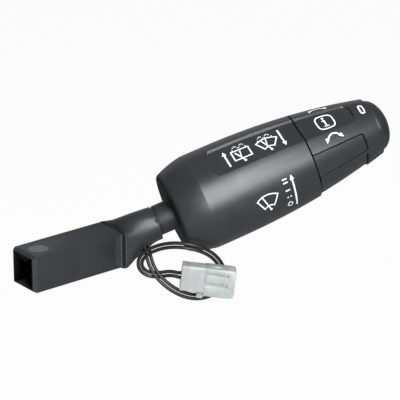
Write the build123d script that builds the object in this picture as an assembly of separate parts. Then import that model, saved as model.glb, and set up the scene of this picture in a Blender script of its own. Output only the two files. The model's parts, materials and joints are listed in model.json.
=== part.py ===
"""Combination stalk switch of a vehicle: square socket arm, tapered switch barrel, twist knob with an end
push button, and a two-wire lead with its connector.

Frame: the origin is the middle of the socket's mouth, +X runs into the arm, +Z is up and -Y is the front.
The barrel pieces are drawn in a frame of their own: its origin is where the barrel's axis crosses the arm's,
+Z runs along the barrel to the knob, +X is the upper side and +Y the front. Lengths are in millimetres.
"""
from build123d import *
import math
import os

# Arm
arm_width = 15.1
arm_height = 15.4
arm_length = 43.0
arm_edge_radius = 0.6
socket_side_wall = 1.5
socket_roof_wall = 1.0
socket_depth = 33.0
ejector_mark_radius = 4.2
ejector_mark_depth = 0.2
ejector_mark_at = 7.6
end_rib_height = 0.35
end_rib_width = 0.7
end_flute_radius = 5.0
end_flute_depth = 0.35
latch_nub = 0.5

# Barrel axis against the arm
axis_set_back = 13.0
axis_pitch = 18.8
axis_yaw = 21.7

# Neck between the arm and the barrel
neck_step_front = 2.8
neck_step_top = 0.9
neck_corner_radius = 2.6
neck_waist_at = 21.0
neck_waist_height = 16.2
neck_waist_width = 13.8
neck_waist_drop = 1.2
neck_waist_shift = 1.0
sleeve_end_at = 31.3
sleeve_radius = 7.05
sleeve_drop = 0.75
spigot_radius = 5.6
spigot_start = 23.5
spigot_fit = 0.05
key_width = 2.4
key_height = 0.8
wire_room_radius = 2.1

# Barrel shell and rear cover
stub_radius = 6.25
stub_bore_radius = 3.9
stub_gap = 0.8
barrel_back_at = 39.2
barrel_back_radius = 16.6
barrel_chamfer_end = 51.0
barrel_radius = 20.0
barrel_straight_end = 57.0
barrel_front_at = 97.8
taper_power = 2.25
shell_wall = 2.6
front_lip = 2.0
back_rim = 1.2
cover_thickness = 2.0
cover_gap = 0.15
cover_ledge = 1.4
bulkhead_thickness = 2.2
bulkhead_inset = 3.0
bulkhead_hole_radius = 12.0

# Flat marked panel and finger flats, in degrees from the front towards the top
panel_facing = 67.5
panel_meets_at = 43.5
panel_lower_edge = 42.0
panel_upper_wall = 86.5
panel_wall_facing = 38.0
panel_start = 58.5
panel_end = 121.6
panel_corner = 3.6
finger_facing = 0.0
finger_meets_at = 24.5
finger_upper_edge = 22.0
finger_lower_wall = -12.5
finger_wall_facing = 50.0
finger_end = 121.8
finger_corner = 1.2
grip_inset = 0.8
grip_edge = -17.0
grip_end = 121.0

# Knob
knob_gap = 0.4
knob_end_at = 129.0
knob_end_radius = 12.05
knob_wall = 2.4
knob_hub_wall = 1.7
knob_hub_rear = 101.0
knob_hub_front = 118.3
knob_web_at = 111.0
knob_web_thickness = 2.0
knob_turn = 20.0
stop_lug_half_angle = 9.5
stop_play_angle = 0.5
rotor_thickness = 1.8
rotor_gap = 0.1
rotor_at = 101.2
bearing_gap = 0.08
running_gap = 0.3

# End button and plunger
button_travel = 2.0
button_gap = 0.3
button_rim = 0.85
dome_height = 6.4
button_skirt_depth = 4.4
button_wall = 1.5
plunger_radius = 2.2
plunger_collar_radius = 4.4
plunger_collar_thickness = 1.4
plunger_tail_at = 94.0

# Core carrier
core_radius = 8.0
core_bore_radius = 5.4
core_front_at = 120.6
core_guide_at = 104.0
core_guide_thickness = 2.0
flange_gap = 0.75
flange_thickness = 2.0
rear_flange_at = 44.5
rear_flange_radius = 12.5
tray_thickness = 1.6
tray_width = 21.0
clip_thickness = 0.9
clip_groove_depth = 0.8
clip_reach = 1.6

# Circuit board and its parts
board_thickness = 1.6
board_width = 22.0
board_gap = 0.6
board_end = 85.5
board_stand_off = 3.8
disc_thickness = 1.2
disc_gap = 0.55
resistor_size = (0.6, 3.2, 1.6)
resistor_pitch = 4.0
resistor_set_back = 5.6
tag_length = 2.0
clamp_width = 5.2
clamp_height = 2.4
wiper_inset = 0.2
wiper_width = 1.4
wiper_rear_reach = 3.0
wiper_front_reach = 4.4
wiper_bend = 3.4
wiper_tip_rise = 0.6
wiper_thickness = 0.28
pin_size = 0.64
pin_pitch = 1.5
pin_set_in = 1.64
switch_size = 6.0
switch_length = 4.5
stem_radius = 1.5
screw_radius = 1.1
screw_head_radius = 2.1
screw_head_height = 1.3
screw_slot_length = 2.4
screw_slot_width = 0.5
screw_length = 5.0

# Springs
button_spring_radius = 3.5
button_spring_wire = 0.55
button_spring_turns = 5
centring_spring_wire = 1.0
centring_spring_turns = 3
centring_spring_pitch = 1.15

# Wire pair: centre line of the two wires, from the circuit board to the connector, measured from where the
# barrel's axis crosses the arm's
wire_diameter = 1.45
wire_pitch = 1.65
wire_route = [
    (41.8, -16.8, 14.1), (37.6, -14.9, 12.2), (33.0, -13.3, 10.9), (28.9, -11.8, 8.8), (24.4, -11.5, 6.2),
    (22.4, -11.8, 2.2), (21.6, -13.8, -2.0), (21.2, -17.3, -7.1), (23.2, -20.9, -11.7),
    (27.5, -24.0, -16.2), (33.2, -26.6, -19.4), (39.4, -28.3, -20.4), (44.4, -30.0, -18.5),
    (46.9, -31.2, -14.1), (46.3, -31.1, -8.2), (41.2, -32.0, -1.7), (34.2, -32.4, 3.2),
    (28.8, -29.8, 5.2), (25.1, -24.7, 4.9), (21.9, -19.8, 3.0), (19.1, -15.9, 0.2), (17.4, -13.8, -3.3),
    (17.8, -13.7, -7.2), (20.7, -15.2, -10.1), (24.3, -17.9, -10.2), (27.1, -21.5, -9.0),
    (29.3, -25.6, -9.3), (32.9, -28.5, -9.8),
]
straight_points = 2
twist_points = 3
loop_facing = Vector(-0.585, -0.725, 0.364)

# Connector
hood_length = 9.6
hood_height = 11.0
hood_thickness = 6.2
hood_wall = 1.0
wire_entry = 4.9
housing_length = 12.4
housing_drop = 0.9
housing_ledge = 0.8
housing_thickness = 6.4
housing_corner = 1.6
way_pitch = 4.4
way_lift = 0.8
way_size = 2.6
way_flute_depth = 0.45
way_flute_length = 8.0
latch_length = 2.6
latch_depth = 2.8
latch_gap = 0.9
connector_tilt = 7.0
terminal_size = 1.8
terminal_length = 13.0


def outer_radius(along):
    """Outer radius of the barrel and knob past the barrel's straight stretch."""
    share = max(0.0, along - barrel_straight_end) / (knob_end_at - barrel_straight_end)
    return barrel_radius - (barrel_radius - knob_end_radius) * share ** taper_power


# Working values that follow from the sizes above
axis_crossing = arm_length - axis_set_back
pitch_rad = math.radians(axis_pitch)
yaw_rad = math.radians(axis_yaw)
axis_direction = Vector(
    math.cos(pitch_rad) * math.cos(yaw_rad), -math.cos(pitch_rad) * math.sin(yaw_rad), math.sin(pitch_rad)
)
axis_up = Vector(
    -math.sin(pitch_rad) * math.cos(yaw_rad), math.sin(pitch_rad) * math.sin(yaw_rad), math.cos(pitch_rad)
)
barrel_frame = Plane(origin=(axis_crossing, 0, 0), x_dir=axis_up, z_dir=axis_direction)
knob_start = barrel_front_at + knob_gap
shell_floor = barrel_back_at + cover_thickness
bulkhead_front = barrel_front_at - bulkhead_inset
disc_front = bulkhead_front + disc_thickness
board_start = rear_flange_at + flange_thickness + screw_head_height + board_gap
disc_radius = outer_radius(barrel_front_at) - front_lip - disc_gap
flange_radius = outer_radius(bulkhead_front - bulkhead_thickness) - shell_wall - flange_gap
hub_radius = core_radius + bearing_gap + knob_hub_wall
rotor_radius = outer_radius(rotor_at + rotor_thickness) - knob_wall - rotor_gap
wiper_outer = rotor_radius - wiper_inset
centring_spring_radius = (hub_radius + wiper_outer - wiper_width) / 2
wire_spots = [Vector(axis_crossing + x, y, z) for x, y, z in wire_route]
connector_right = Vector(0.779, -0.627, 0).normalized()
connector_along = connector_right * math.cos(math.radians(connector_tilt)) + Vector(
    0, 0, -math.sin(math.radians(connector_tilt)))
connector_frame = Plane(
    origin=wire_spots[-2], x_dir=connector_along, z_dir=Vector(0, 0, 1).cross(connector_right) * -1)
far = 60.0


def on_barrel(solid):
    """Moves a solid drawn in the barrel's frame to its place."""
    return barrel_frame.location * solid


def ring(outer, inner, start, end):
    """A plain ring about the barrel's axis."""
    height = end - start
    at = Pos(0, 0, start)
    disc = at * Cylinder(outer, height, align=(Align.CENTER, Align.CENTER, Align.MIN))
    return disc - at * Cylinder(inner, height, align=(Align.CENTER, Align.CENTER, Align.MIN))


def rod(radius, start, end):
    """A plain rod on the barrel's axis."""
    return Pos(0, 0, start) * Cylinder(radius, end - start, align=(Align.CENTER, Align.CENTER, Align.MIN))


def block(x, y, z):
    """A box between two limits on each axis, given as pairs."""
    size = (x[1] - x[0], y[1] - y[0], z[1] - z[0])
    return Pos(x[0], y[0], z[0]) * Box(*size, align=(Align.MIN, Align.MIN, Align.MIN))


def outline_arc(start, end, inset=0.0, share=1.0):
    """The lengthwise outline between two places, in by a wall or at a share of the radius."""
    places = (start, (start + end) / 2, end)
    points = [(share * outer_radius(at) - inset, 0, at) for at in places]
    return ThreePointArc(*points)


def turned(*edges):
    """Revolves a closed outline, drawn in the XZ plane, about the barrel's axis."""
    return revolve(make_face(Wire(edges)), Axis.Z)


def line(*points):
    """Straight edges through points given as radius and place along the axis."""
    spots = [(radius, 0, along) for radius, along in points]
    return [Line(a, b) for a, b in zip(spots, spots[1:])]


def flat_floor(share, start, end):
    """Everything beyond a lengthwise floor at a share of the outer radius, facing +X."""
    floor = outline_arc(start, end, share=share)
    beyond = line((share * outer_radius(end), end), (far, end), (far, start),
                  (share * outer_radius(start), start))
    return extrude(make_face(Wire([floor] + beyond)), far, both=True)


def flat_cutter(facing, meets_at, edge, wall, wall_facing, start, end, rounded, radius):
    """What a flat takes off the barrel or knob. Its floor follows the taper and would meet the surface at one
    angle. It stops at its edge, at both ends, and at a wall that slopes up and faces its own way.
    Angles are in degrees from the front towards the top."""

    def across(angle, along, margin=1.0):
        return margin * outer_radius(along) * math.sin(math.radians(facing - angle))

    corners = {
        "edge start": (across(edge, start), start),
        "edge end": (across(edge, end), end),
        "wall end": (across(wall, end, 1.04), end),
        "wall start": (across(wall, start, 1.04), start),
    }
    plan = make_face(Polyline(*corners.values(), close=True))
    spots = [plan.vertices().sort_by_distance((*corners[name], 0))[0] for name in rounded]
    if spots:
        plan = fillet(spots, radius)
    cutter = flat_floor(math.cos(math.radians(facing - meets_at)), start, end) & extrude(Plane.YZ * plan, far)
    slope = flat_floor(math.cos(math.radians(wall - wall_facing)), start, end)
    return Rot(0, 0, 90 - facing) * cutter & Rot(0, 0, 90 - wall_facing) * slope


def panel_cutter(start, end, rounded):
    """The marked panel, which runs on from the barrel to the knob."""
    return flat_cutter(panel_facing, panel_meets_at, panel_lower_edge, panel_upper_wall, panel_wall_facing,
                       start, end, rounded, panel_corner)


def grip_cutter():
    """What makes the knob's lower side thinner between its two finger flats."""
    start = knob_start - 1
    skin = outline_arc(start, grip_end, inset=grip_inset)
    beyond = line((outer_radius(grip_end) - grip_inset, grip_end), (far, grip_end), (far, start),
                  (outer_radius(start) - grip_inset, start))
    return turned(skin, *beyond) & sector(knob_end_at, 90 + grip_edge, start, grip_end)


def round_path(points):
    """A route as straight runs joined by tangent arcs, each as large as its two runs allow."""
    spots = [Vector(*point) for point in points]
    radii = []
    for before, corner, after in zip(spots, spots[1:], spots[2:]):
        run = min((corner - before).length, (after - corner).length)
        turn = math.radians((corner - before).get_angle(after - corner))
        radii.append(0.45 * run / math.tan(turn / 2))
    return FilletPolyline(*spots, radius=radii), radii


def wire_points(side):
    """The route of one wire of the pair: beside the centre line, and spread to its way in the connector."""
    spots = wire_spots
    last = len(spots) - 1
    points = []
    for index, spot in enumerate(spots):
        along = spots[min(index + 1, last)] - spots[max(index - 1, 0)]
        twist = min(1.0, max(0.0, (index - straight_points) / twist_points))
        facing = loop_facing * twist + axis_up * (1 - twist)
        if index >= last - 1:
            facing = connector_frame.z_dir
        spread = way_pitch if index == last else wire_pitch
        points.append(spot + along.cross(facing).normalized() * (side * spread / 2))
    return points


def wire(side):
    """One wire of the pair, its section drawn with six sides."""
    path, radii = round_path(wire_points(side))
    start = Plane(origin=path @ 0, z_dir=path % 0)
    print("wire length", round(path.length, 1), "radii", [round(radius, 1) for radius in radii])
    return sweep(start * RegularPolygon(wire_diameter / 2, 6), path=path)


def wire_room():
    """The passage that lets the pair out of the stub through the neck's underside."""
    path, _ = round_path(wire_spots[2:8])
    start = Plane(origin=path @ 0, z_dir=path % 0)
    return sweep(start * Circle(wire_room_radius), path=path)


def neck():
    """The neck from the square arm to the round sleeve, with its sides proud of the arm's front and top."""
    back = arm_width / 2
    front = -arm_width / 2 - neck_step_front
    top = arm_height / 2 + neck_step_top
    start_plane = Plane(origin=(arm_length, (back + front) / 2, neck_step_top / 2), x_dir=(0, 1, 0),
                        z_dir=(1, 0, 0))
    start = start_plane * RectangleRounded(back - front, top + arm_height / 2, neck_corner_radius)
    waist_place = barrel_frame * Pos(-neck_waist_drop, -neck_waist_shift, neck_waist_at)
    waist = waist_place * Ellipse(neck_waist_height / 2, neck_waist_width / 2)
    end = barrel_frame * Pos(-sleeve_drop, 0, sleeve_end_at) * Circle(sleeve_radius)
    return loft([start, waist, end])


def socket_arm():
    """Square socket arm and neck sleeve, one moulding."""
    prism = Pos(arm_length / 2, 0, 0) * Box(arm_length, arm_width, arm_height)
    prism = chamfer(prism.faces().sort_by(Axis.X)[0].edges(), socket_roof_wall * 0.9)
    prism = fillet(prism.edges().filter_by(Axis.X), arm_edge_radius)
    rib_place = Pos(arm_length - end_rib_width / 2, -arm_width / 2, 0)
    rib = rib_place * Box(end_rib_width, 2 * end_rib_height, arm_height - 1)
    flute_offset = arm_width / 2 + end_flute_radius - end_flute_depth
    flute = Pos(arm_length - 2.6, -flute_offset, 0) * Cylinder(end_flute_radius, arm_height - 2.4)
    mark = Pos(ejector_mark_at, 0, arm_height / 2) * Cylinder(ejector_mark_radius, 2 * ejector_mark_depth)
    socket_width = arm_width - 2 * socket_side_wall
    socket_height = arm_height - 2 * socket_roof_wall
    socket = Pos(socket_depth / 2, 0, 0) * Box(socket_depth, socket_width, socket_height)
    nub = Pos(3.2, -socket_width / 2, -socket_height / 4) * Box(2.4, 2 * latch_nub, 1.6)
    arm = (prism - flute) + neck() + rib - mark - socket + nub
    bore = on_barrel(rod(spigot_radius + spigot_fit, spigot_start - running_gap, sleeve_end_at + 1))
    notch_start = sleeve_end_at - key_width
    notch = block((-far / 4, 0), (-key_width / 2 - spigot_fit, key_width / 2 + spigot_fit),
                  (notch_start, far))
    return arm - bore - on_barrel(notch) - wire_room()


def boss_places():
    """The two screw bosses of the rear cover."""
    reach = rear_flange_radius - 1.2 * screw_head_radius
    return [Pos(0, side * reach, 0) for side in (-1, 1)]


def rear_cover():
    """Back plate of the barrel with the stub and the spigot that goes into the neck's sleeve."""
    shoulder = sleeve_end_at + stub_gap
    plate = rod(barrel_back_radius - back_rim - cover_gap, barrel_back_at, shell_floor)
    stub = rod(stub_radius, shoulder, barrel_back_at + 0.1)
    cover = fillet((plate + stub).edges().filter_by(GeomType.CIRCLE).sort_by_distance(
        (stub_radius, 0, barrel_back_at))[0], 0.8)
    key_start = sleeve_end_at - key_width + spigot_fit
    key = block((-spigot_radius - key_height, 0), (-key_width / 2, key_width / 2), (key_start, shoulder))
    cover += rod(spigot_radius, spigot_start, shoulder) + key
    for place in boss_places():
        cover += place * rod(screw_head_radius + 0.4, shell_floor, rear_flange_at)
        cover -= place * rod(0.9 * screw_radius, shell_floor + 0.2, rear_flange_at + 1)
    cover -= rod(stub_bore_radius, spigot_start - 1, shell_floor + 1)
    return on_barrel(cover) - wire_room()


def barrel_shell():
    """Tapered barrel with its rear chamfer, marked panel and front bulkhead."""
    rim = barrel_back_radius - back_rim
    ledge = rim - cover_ledge
    ledge_end = shell_floor + 1.4
    wall_mid = barrel_chamfer_end + 1.0
    inner_radius = barrel_radius - shell_wall
    bulkhead_rear = bulkhead_front - bulkhead_thickness
    lip = outer_radius(barrel_front_at) - front_lip
    edge = 0.5
    middle = (barrel_back_at + barrel_chamfer_end) / 2
    bulge = (barrel_back_radius + barrel_radius) / 2 + 0.45
    profile = line((rim, barrel_back_at), (barrel_back_radius - edge, barrel_back_at),
                   (barrel_back_radius, barrel_back_at + edge))
    profile.append(ThreePointArc((barrel_back_radius, 0, barrel_back_at + edge), (bulge, 0, middle),
                                 (barrel_radius, 0, barrel_chamfer_end)))
    profile += line((barrel_radius, barrel_chamfer_end), (barrel_radius, barrel_straight_end))
    profile.append(outline_arc(barrel_straight_end, barrel_front_at))
    profile += line((outer_radius(barrel_front_at), barrel_front_at), (lip, barrel_front_at),
                    (lip, bulkhead_front),
                    (bulkhead_hole_radius, bulkhead_front), (bulkhead_hole_radius, bulkhead_rear),
                    (outer_radius(bulkhead_rear) - shell_wall, bulkhead_rear))
    profile.append(outline_arc(barrel_straight_end, bulkhead_rear, inset=shell_wall))
    profile += line((inner_radius, barrel_straight_end), (inner_radius, wall_mid), (ledge, ledge_end),
                    (ledge, shell_floor), (rim, shell_floor), (rim, barrel_back_at))
    shell = turned(*profile)
    return on_barrel(shell - panel_cutter(panel_start, barrel_front_at + 1, ["edge start", "wall start"]))


def sector(radius, half_angle, start, end):
    """A wedge about the barrel's lower side."""
    reach = radius * 2
    side = reach * math.tan(math.radians(half_angle))
    wedge = make_face(Polyline((0, 0), (-reach, side), (-reach, -side), close=True))
    return Pos(0, 0, start) * extrude(wedge, end - start)


def post_places():
    """The board's four corner posts and two screw posts on the carrier."""
    across = board_width / 2 - screw_head_radius
    span = board_end - board_start
    corners = [(side * across, board_start + share * span) for side in (-1, 1) for share in (0.1, 0.9)]
    screws = [(side * across, board_start + 0.5 * span) for side in (-1, 1)]
    return corners, screws


def post(radius, x, spot):
    """A post square to the board."""
    return Pos(x[0], spot[0], spot[1]) * Rot(0, 90, 0) * Cylinder(
        radius, x[1] - x[0], align=(Align.CENTER, Align.CENTER, Align.MIN))


def core_carrier():
    """Carrier of the circuit board, with the core tube that the knob turns on."""
    flange_rear = bulkhead_front - bulkhead_thickness - flange_thickness
    tray_top = -board_stand_off
    tray_x = (tray_top - tray_thickness, tray_top)
    half = tray_width / 2
    carrier = ring(rear_flange_radius, stub_bore_radius + 0.7, rear_flange_at,
                   rear_flange_at + flange_thickness)
    carrier += block(tray_x, (-half, half), (rear_flange_at, flange_rear))
    for side in (-1, 1):
        edge = sorted((side * half, side * (half - tray_thickness)))
        carrier += block((tray_x[0], tray_top + 1.6), edge, (rear_flange_at, flange_rear))
    carrier += block((tray_top, -switch_size / 2), (-half / 2, half / 2), (board_end, flange_rear))
    carrier += ring(flange_radius, core_bore_radius, flange_rear, flange_rear + flange_thickness)
    carrier += ring(core_radius, core_bore_radius, flange_rear, core_front_at)
    guide = (core_guide_at, core_guide_at + core_guide_thickness)
    carrier += ring(core_bore_radius + 0.5, plunger_radius + bearing_gap, *guide)
    collar = (disc_front + running_gap, knob_hub_rear - running_gap)
    stop = sector(hub_radius, knob_turn + stop_lug_half_angle + stop_play_angle, *collar)
    carrier += ring(hub_radius, core_radius - 0.5, *collar) - (stop - rod(core_radius, *collar))
    corners, screws = post_places()
    for spot in corners + screws:
        carrier += post(screw_head_radius, (tray_top - 0.2, 0), spot)
    for spot in screws:
        carrier -= post(0.9 * screw_radius, (tray_top, 1), spot)
    for place in boss_places():
        carrier -= place * rod(screw_radius + 0.1, rear_flange_at - 1, rear_flange_at + flange_thickness + 1)
    groove = (clip_start() - 0.05, clip_start() + clip_thickness + 0.05)
    carrier -= ring(core_radius + 1, core_radius - clip_groove_depth, *groove)
    for pins in pin_rows():
        window = (pins[0] - pin_size, pins[-1] + pin_size)
        carrier -= block((board_thickness - pin_size, board_thickness + 2 * pin_size), window,
                         (flange_rear - 1, flange_rear + flange_thickness + 1))
    return on_barrel(carrier)


def clip_start():
    """Rear face of the retaining clip, just in front of the knob's hub."""
    return knob_hub_front + running_gap


def pin_rows():
    """Places of the link pins across the board, two at each side."""
    outermost = bulkhead_hole_radius - pin_set_in
    return [(-outermost, pin_pitch - outermost), (outermost - pin_pitch, outermost)]


def link_pins():
    """Pins that join the contact disc to the circuit board."""
    pins = []
    for row in pin_rows():
        for across in row:
            width = (across - pin_size / 2, across + pin_size / 2)
            pins.append(block((board_thickness, board_thickness + pin_size), width,
                              (board_end - 4, disc_front)))
    return on_barrel(Compound(children=pins))


def circuit_board():
    """Circuit board on the carrier's posts."""
    half = board_width / 2
    board = block((0, board_thickness), (-half, half), (board_start, board_end))
    board = fillet(board.edges().filter_by(Axis.X), 1.0)
    for spot in post_places()[1]:
        board -= post(screw_radius + 0.1, (-1, board_thickness + 1), spot)
    return on_barrel(board)


def coding_resistors():
    """Surface-mounted resistors on the board."""
    height, length, width = resistor_size
    row = []
    for step in (0, 1, 2, 4):
        start = board_start + resistor_set_back + step * resistor_pitch
        row.append(block((board_thickness, board_thickness + height), (-length / 2, length / 2),
                         (start, start + width)))
    return on_barrel(Compound(children=row))


def screw(length):
    """A pan-head screw whose head's underside is at the origin, pointing down."""
    shank = Cylinder(0.88 * screw_radius, length, align=(Align.CENTER, Align.CENTER, Align.MAX))
    head = Cylinder(screw_head_radius, screw_head_height, align=(Align.CENTER, Align.CENTER, Align.MIN))
    head = chamfer(head.edges().sort_by(Axis.Z)[-1], 0.4)
    slot_depth = 0.8 * screw_head_height
    slot = Box(screw_slot_length, screw_slot_width, slot_depth)
    slot = slot + Box(screw_slot_width, screw_slot_length, slot_depth)
    slot = Pos(0, 0, screw_head_height) * slot
    return shank + head - slot


def board_screws():
    """Screws of the circuit board."""
    length = board_thickness + 3.0
    screws = [Pos(board_thickness, *spot) * Rot(0, 90, 0) * screw(length) for spot in post_places()[1]]
    return on_barrel(Compound(children=screws))


def carrier_screws():
    """Screws that hold the carrier to the rear cover."""
    seat = rear_flange_at + flange_thickness
    screws = [place * Pos(0, 0, seat) * screw(screw_length) for place in boss_places()]
    return on_barrel(Compound(children=screws))


def solder_tags():
    """Tags that join the two wires to the board."""
    start = barrel_frame.to_local_coords(wire_spots[0])
    tags = []
    for side in (-1, 1):
        middle = start.Y + side * wire_pitch / 2
        width = (middle - wire_pitch * 0.3, middle + wire_pitch * 0.3)
        tags.append(block((start.X - wire_diameter / 2, 0), width,
                          (board_start + 0.15, board_start + 0.15 + tag_length)))
    return on_barrel(Compound(children=tags))


def cable_clamp():
    """Clamp that grips the wires where they enter the barrel."""
    middle = barrel_frame.to_local_coords(wire_spots[1])
    reach = boss_places()[1].position.Y - screw_head_radius - 0.5
    bar = block((middle.X - clamp_width / 2, middle.X + clamp_width / 2), (-reach, reach),
                (shell_floor, shell_floor + clamp_height))
    bar = fillet(bar.edges().filter_by(Axis.Z), 1.0)
    slot = Box(wire_diameter + 0.5, wire_pitch + wire_diameter + 0.4, 3 * clamp_height)
    slot = Pos(middle.X, middle.Y, shell_floor) * slot
    return on_barrel(bar - slot)


def contact_disc():
    """Ring board with the fixed contacts of the knob's switch."""
    disc = ring(disc_radius, core_radius + 0.1, bulkhead_front, disc_front)
    hole = pin_size / 2 + 0.08
    middle = board_thickness + pin_size / 2
    for row in pin_rows():
        for across in row:
            disc -= block((middle - hole, middle + hole), (across - hole, across + hole),
                          (bulkhead_front - 1, far * 2))
    return on_barrel(disc)


def push_switch():
    """Push switch that the button works, with a long-travel stem."""
    half = switch_size / 2
    body = block((-half, half), (-half, half), (board_end, board_end + switch_length))
    body = fillet(body.edges().filter_by(Axis.Z), 0.6)
    return on_barrel(body - rod(stem_radius + bearing_gap, board_end + 0.4, board_end + switch_length + 1))


def switch_stem():
    """Moving stem of the push switch."""
    stem = rod(stem_radius, board_end + 0.5 + button_travel, plunger_tail_at)
    return on_barrel(chamfer(stem.edges().sort_by(Axis.Z)[-1], 0.3))


def rotary_knob():
    """Twist knob: tapered shell with the panel's end, two finger flats, a hub and a stop lug."""
    bore = knob_end_radius - button_rim
    bore_start = knob_end_at - button_skirt_depth - button_travel - 0.7
    edge = 0.3
    profile = [outline_arc(knob_start, knob_end_at - edge)]
    shoulder = outer_radius(knob_end_at - edge)
    profile += line((shoulder, knob_end_at - edge), (shoulder - edge, knob_end_at), (bore, knob_end_at),
                    (bore, bore_start), (outer_radius(bore_start) - knob_wall, bore_start))
    profile.append(outline_arc(knob_start, bore_start, inset=knob_wall))
    profile += line((outer_radius(knob_start) - knob_wall, knob_start),
                    (outer_radius(knob_start), knob_start))
    knob = turned(*profile)
    hub_bore = core_radius + bearing_gap
    web_reach = outer_radius(knob_web_at + knob_web_thickness) - knob_wall + 0.6
    knob += ring(web_reach, hub_bore, knob_web_at, knob_web_at + knob_web_thickness)
    knob += ring(hub_radius, hub_bore, knob_hub_rear, knob_hub_front)
    lug = (knob_hub_rear - 2.0, knob_hub_rear + 0.5)
    knob += sector(hub_radius, stop_lug_half_angle, *lug) & ring(hub_radius - 0.2, hub_bore + 0.2, *lug)
    knob -= panel_cutter(knob_start - 1, panel_end, [])
    finger = flat_cutter(finger_facing, finger_meets_at, finger_upper_edge, finger_lower_wall,
                         finger_wall_facing,
                         knob_start - 1, finger_end, ["edge end", "wall end"], finger_corner)
    knob -= finger
    knob -= mirror(finger, about=Plane.XZ)
    knob -= grip_cutter()
    return on_barrel(knob)


def contact_rotor():
    """Ring on the knob's hub that carries the wiper blades."""
    return on_barrel(ring(rotor_radius, hub_radius + 0.05, rotor_at, rotor_at + rotor_thickness))


def wiper_blades():
    """Spring blades under the rotor that touch the contact disc."""
    low = disc_front + running_gap
    top = rotor_at - 0.15
    bends = [(-wiper_rear_reach, top), (0.0, top), (wiper_bend, low),
             (wiper_front_reach, low + wiper_tip_rise)]
    blade = Plane.XZ * extrude(trace(Polyline(*bends), wiper_thickness), wiper_width)
    blades = [Rot(0, 0, turn) * Pos(0, wiper_outer, 0) * blade for turn in (0, 180)]
    return on_barrel(Compound(children=blades))


def coil(radius, wire_size, turns, pitch, start):
    """A coil of spring wire about the barrel's axis, its section drawn with six sides."""
    helix = Helix(pitch=pitch, height=turns * pitch, radius=radius)
    section = Plane(origin=helix @ 0, z_dir=helix % 0) * RegularPolygon(wire_size / 2, 6)
    return Pos(0, 0, start) * sweep(section, path=helix, is_frenet=True)


def centring_spring():
    """Torsion spring that brings the knob back to its middle."""
    start = disc_front + running_gap + centring_spring_wire / 2
    spring = coil(centring_spring_radius, centring_spring_wire, centring_spring_turns, centring_spring_pitch,
                  start)
    return on_barrel(spring)


def retaining_clip():
    """Clip in the core's groove that holds the knob on."""
    inner = core_radius - clip_groove_depth + 0.05
    clip = ring(core_radius + clip_reach, inner, clip_start(), clip_start() + clip_thickness)
    mouth = Pos(core_radius, 0, clip_start()) * Box(2 * core_radius - 6, 1.1 * core_radius, 4)
    return on_barrel(clip - mouth)


def end_button():
    """Domed push button in the end of the knob."""
    outer = knob_end_radius - button_rim - button_gap
    inner = outer - button_wall
    skirt_end = knob_end_at - button_skirt_depth
    base = knob_end_at + 0.1
    tip = base + dome_height
    inner_tip = tip - button_wall

    def domed(radius, start, crown):
        """A round body with a domed front."""
        shoulder = (0.72 * radius, 0, base + 0.69 * (crown - base))
        dome = Spline((radius, 0, base), shoulder, (0, 0, crown), tangents=((0, 0, 1), (-1, 0, 0)))
        return turned(*line((0, crown), (0, start), (radius, start), (radius, base)), dome)

    shell = domed(outer, skirt_end, tip) - domed(inner, skirt_end - 1, inner_tip)
    boss = ring(plunger_radius + 1.4, plunger_radius + 0.04, skirt_end + 1.4, inner_tip + 0.2)
    return on_barrel(shell + boss)


def button_plunger():
    """Rod that carries the button through the core to the push switch."""
    collar_front = core_front_at + 1.0
    plunger = rod(plunger_radius, plunger_tail_at, knob_end_at + 2.4)
    plunger += rod(plunger_collar_radius, collar_front - plunger_collar_thickness, collar_front)
    return on_barrel(plunger)


def button_spring():
    """Compression spring that pushes the button out."""
    seat = core_guide_at + core_guide_thickness
    collar_rear = core_front_at + 1.0 - plunger_collar_thickness
    room = collar_rear - seat - button_spring_wire - 0.1
    pitch = room / button_spring_turns
    start = seat + button_spring_wire / 2 + 0.05
    return on_barrel(coil(button_spring_radius, button_spring_wire, button_spring_turns, pitch, start))


def on_connector(solid):
    """Moves a solid drawn in the connector's frame to its place: X along the wires, Z out of its front."""
    return connector_frame.location * solid


def ways():
    """Heights of the two terminal ways."""
    return [way_lift - way_pitch / 2, way_lift + way_pitch / 2]


def connector_hood():
    """Wire-side half of the connector with its latch tooth."""
    half = hood_height / 2
    depth = hood_thickness / 2
    hood = block((0, hood_length), (-half, half), (-depth, depth))
    hood = fillet(hood.edges().filter_by(Axis.X), 0.8)
    inner = (half - hood_wall, depth - hood_wall)
    hood -= block((hood_wall, hood_length), (-inner[0], inner[0]), (-inner[1], inner[1]))
    entry = wire_entry / 2
    hood -= block((-1, hood_wall + 1), (-entry, entry), (-wire_diameter, wire_diameter))
    latch = (hood_length - latch_length, hood_length)
    hood += block(latch, (-half - latch_depth, -half + 0.5), (-depth / 2, depth / 2))
    return on_connector(hood)


def connector_housing():
    """Terminal-side half of the connector, with two ways."""
    top = hood_height / 2
    bottom = -top - housing_drop
    depth = housing_thickness / 2
    start = hood_length
    end = hood_length + housing_length
    housing = block((start, end), (bottom, top), (-depth, depth))
    ends = housing.edges().filter_by(Axis.Z).sort_by(Axis.X)[-2:]
    housing = fillet(ends, housing_corner)
    housing += block((start + latch_gap, start + 0.75 * housing_length), (bottom - housing_ledge, bottom),
                     (-depth / 2, depth / 2))
    for height in ways():
        housing -= Pos((start + end) / 2, height, 0) * Box(housing_length + 2, way_size, way_size)
        flute = Pos(start, height, depth + way_size / 2 - way_flute_depth) * Rot(0, 90, 0) * Cylinder(
            way_size / 2, way_flute_length, align=(Align.CENTER, Align.CENTER, Align.MIN))
        housing -= flute
        housing -= Pos(start + way_flute_length + 0.9, height, depth) * Cylinder(0.45, 2 * hood_wall)
    housing -= block((start + 3.6, start + 6.6), (top - 0.9, top + 1), (-0.2, 1.4))
    return on_connector(housing)


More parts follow.
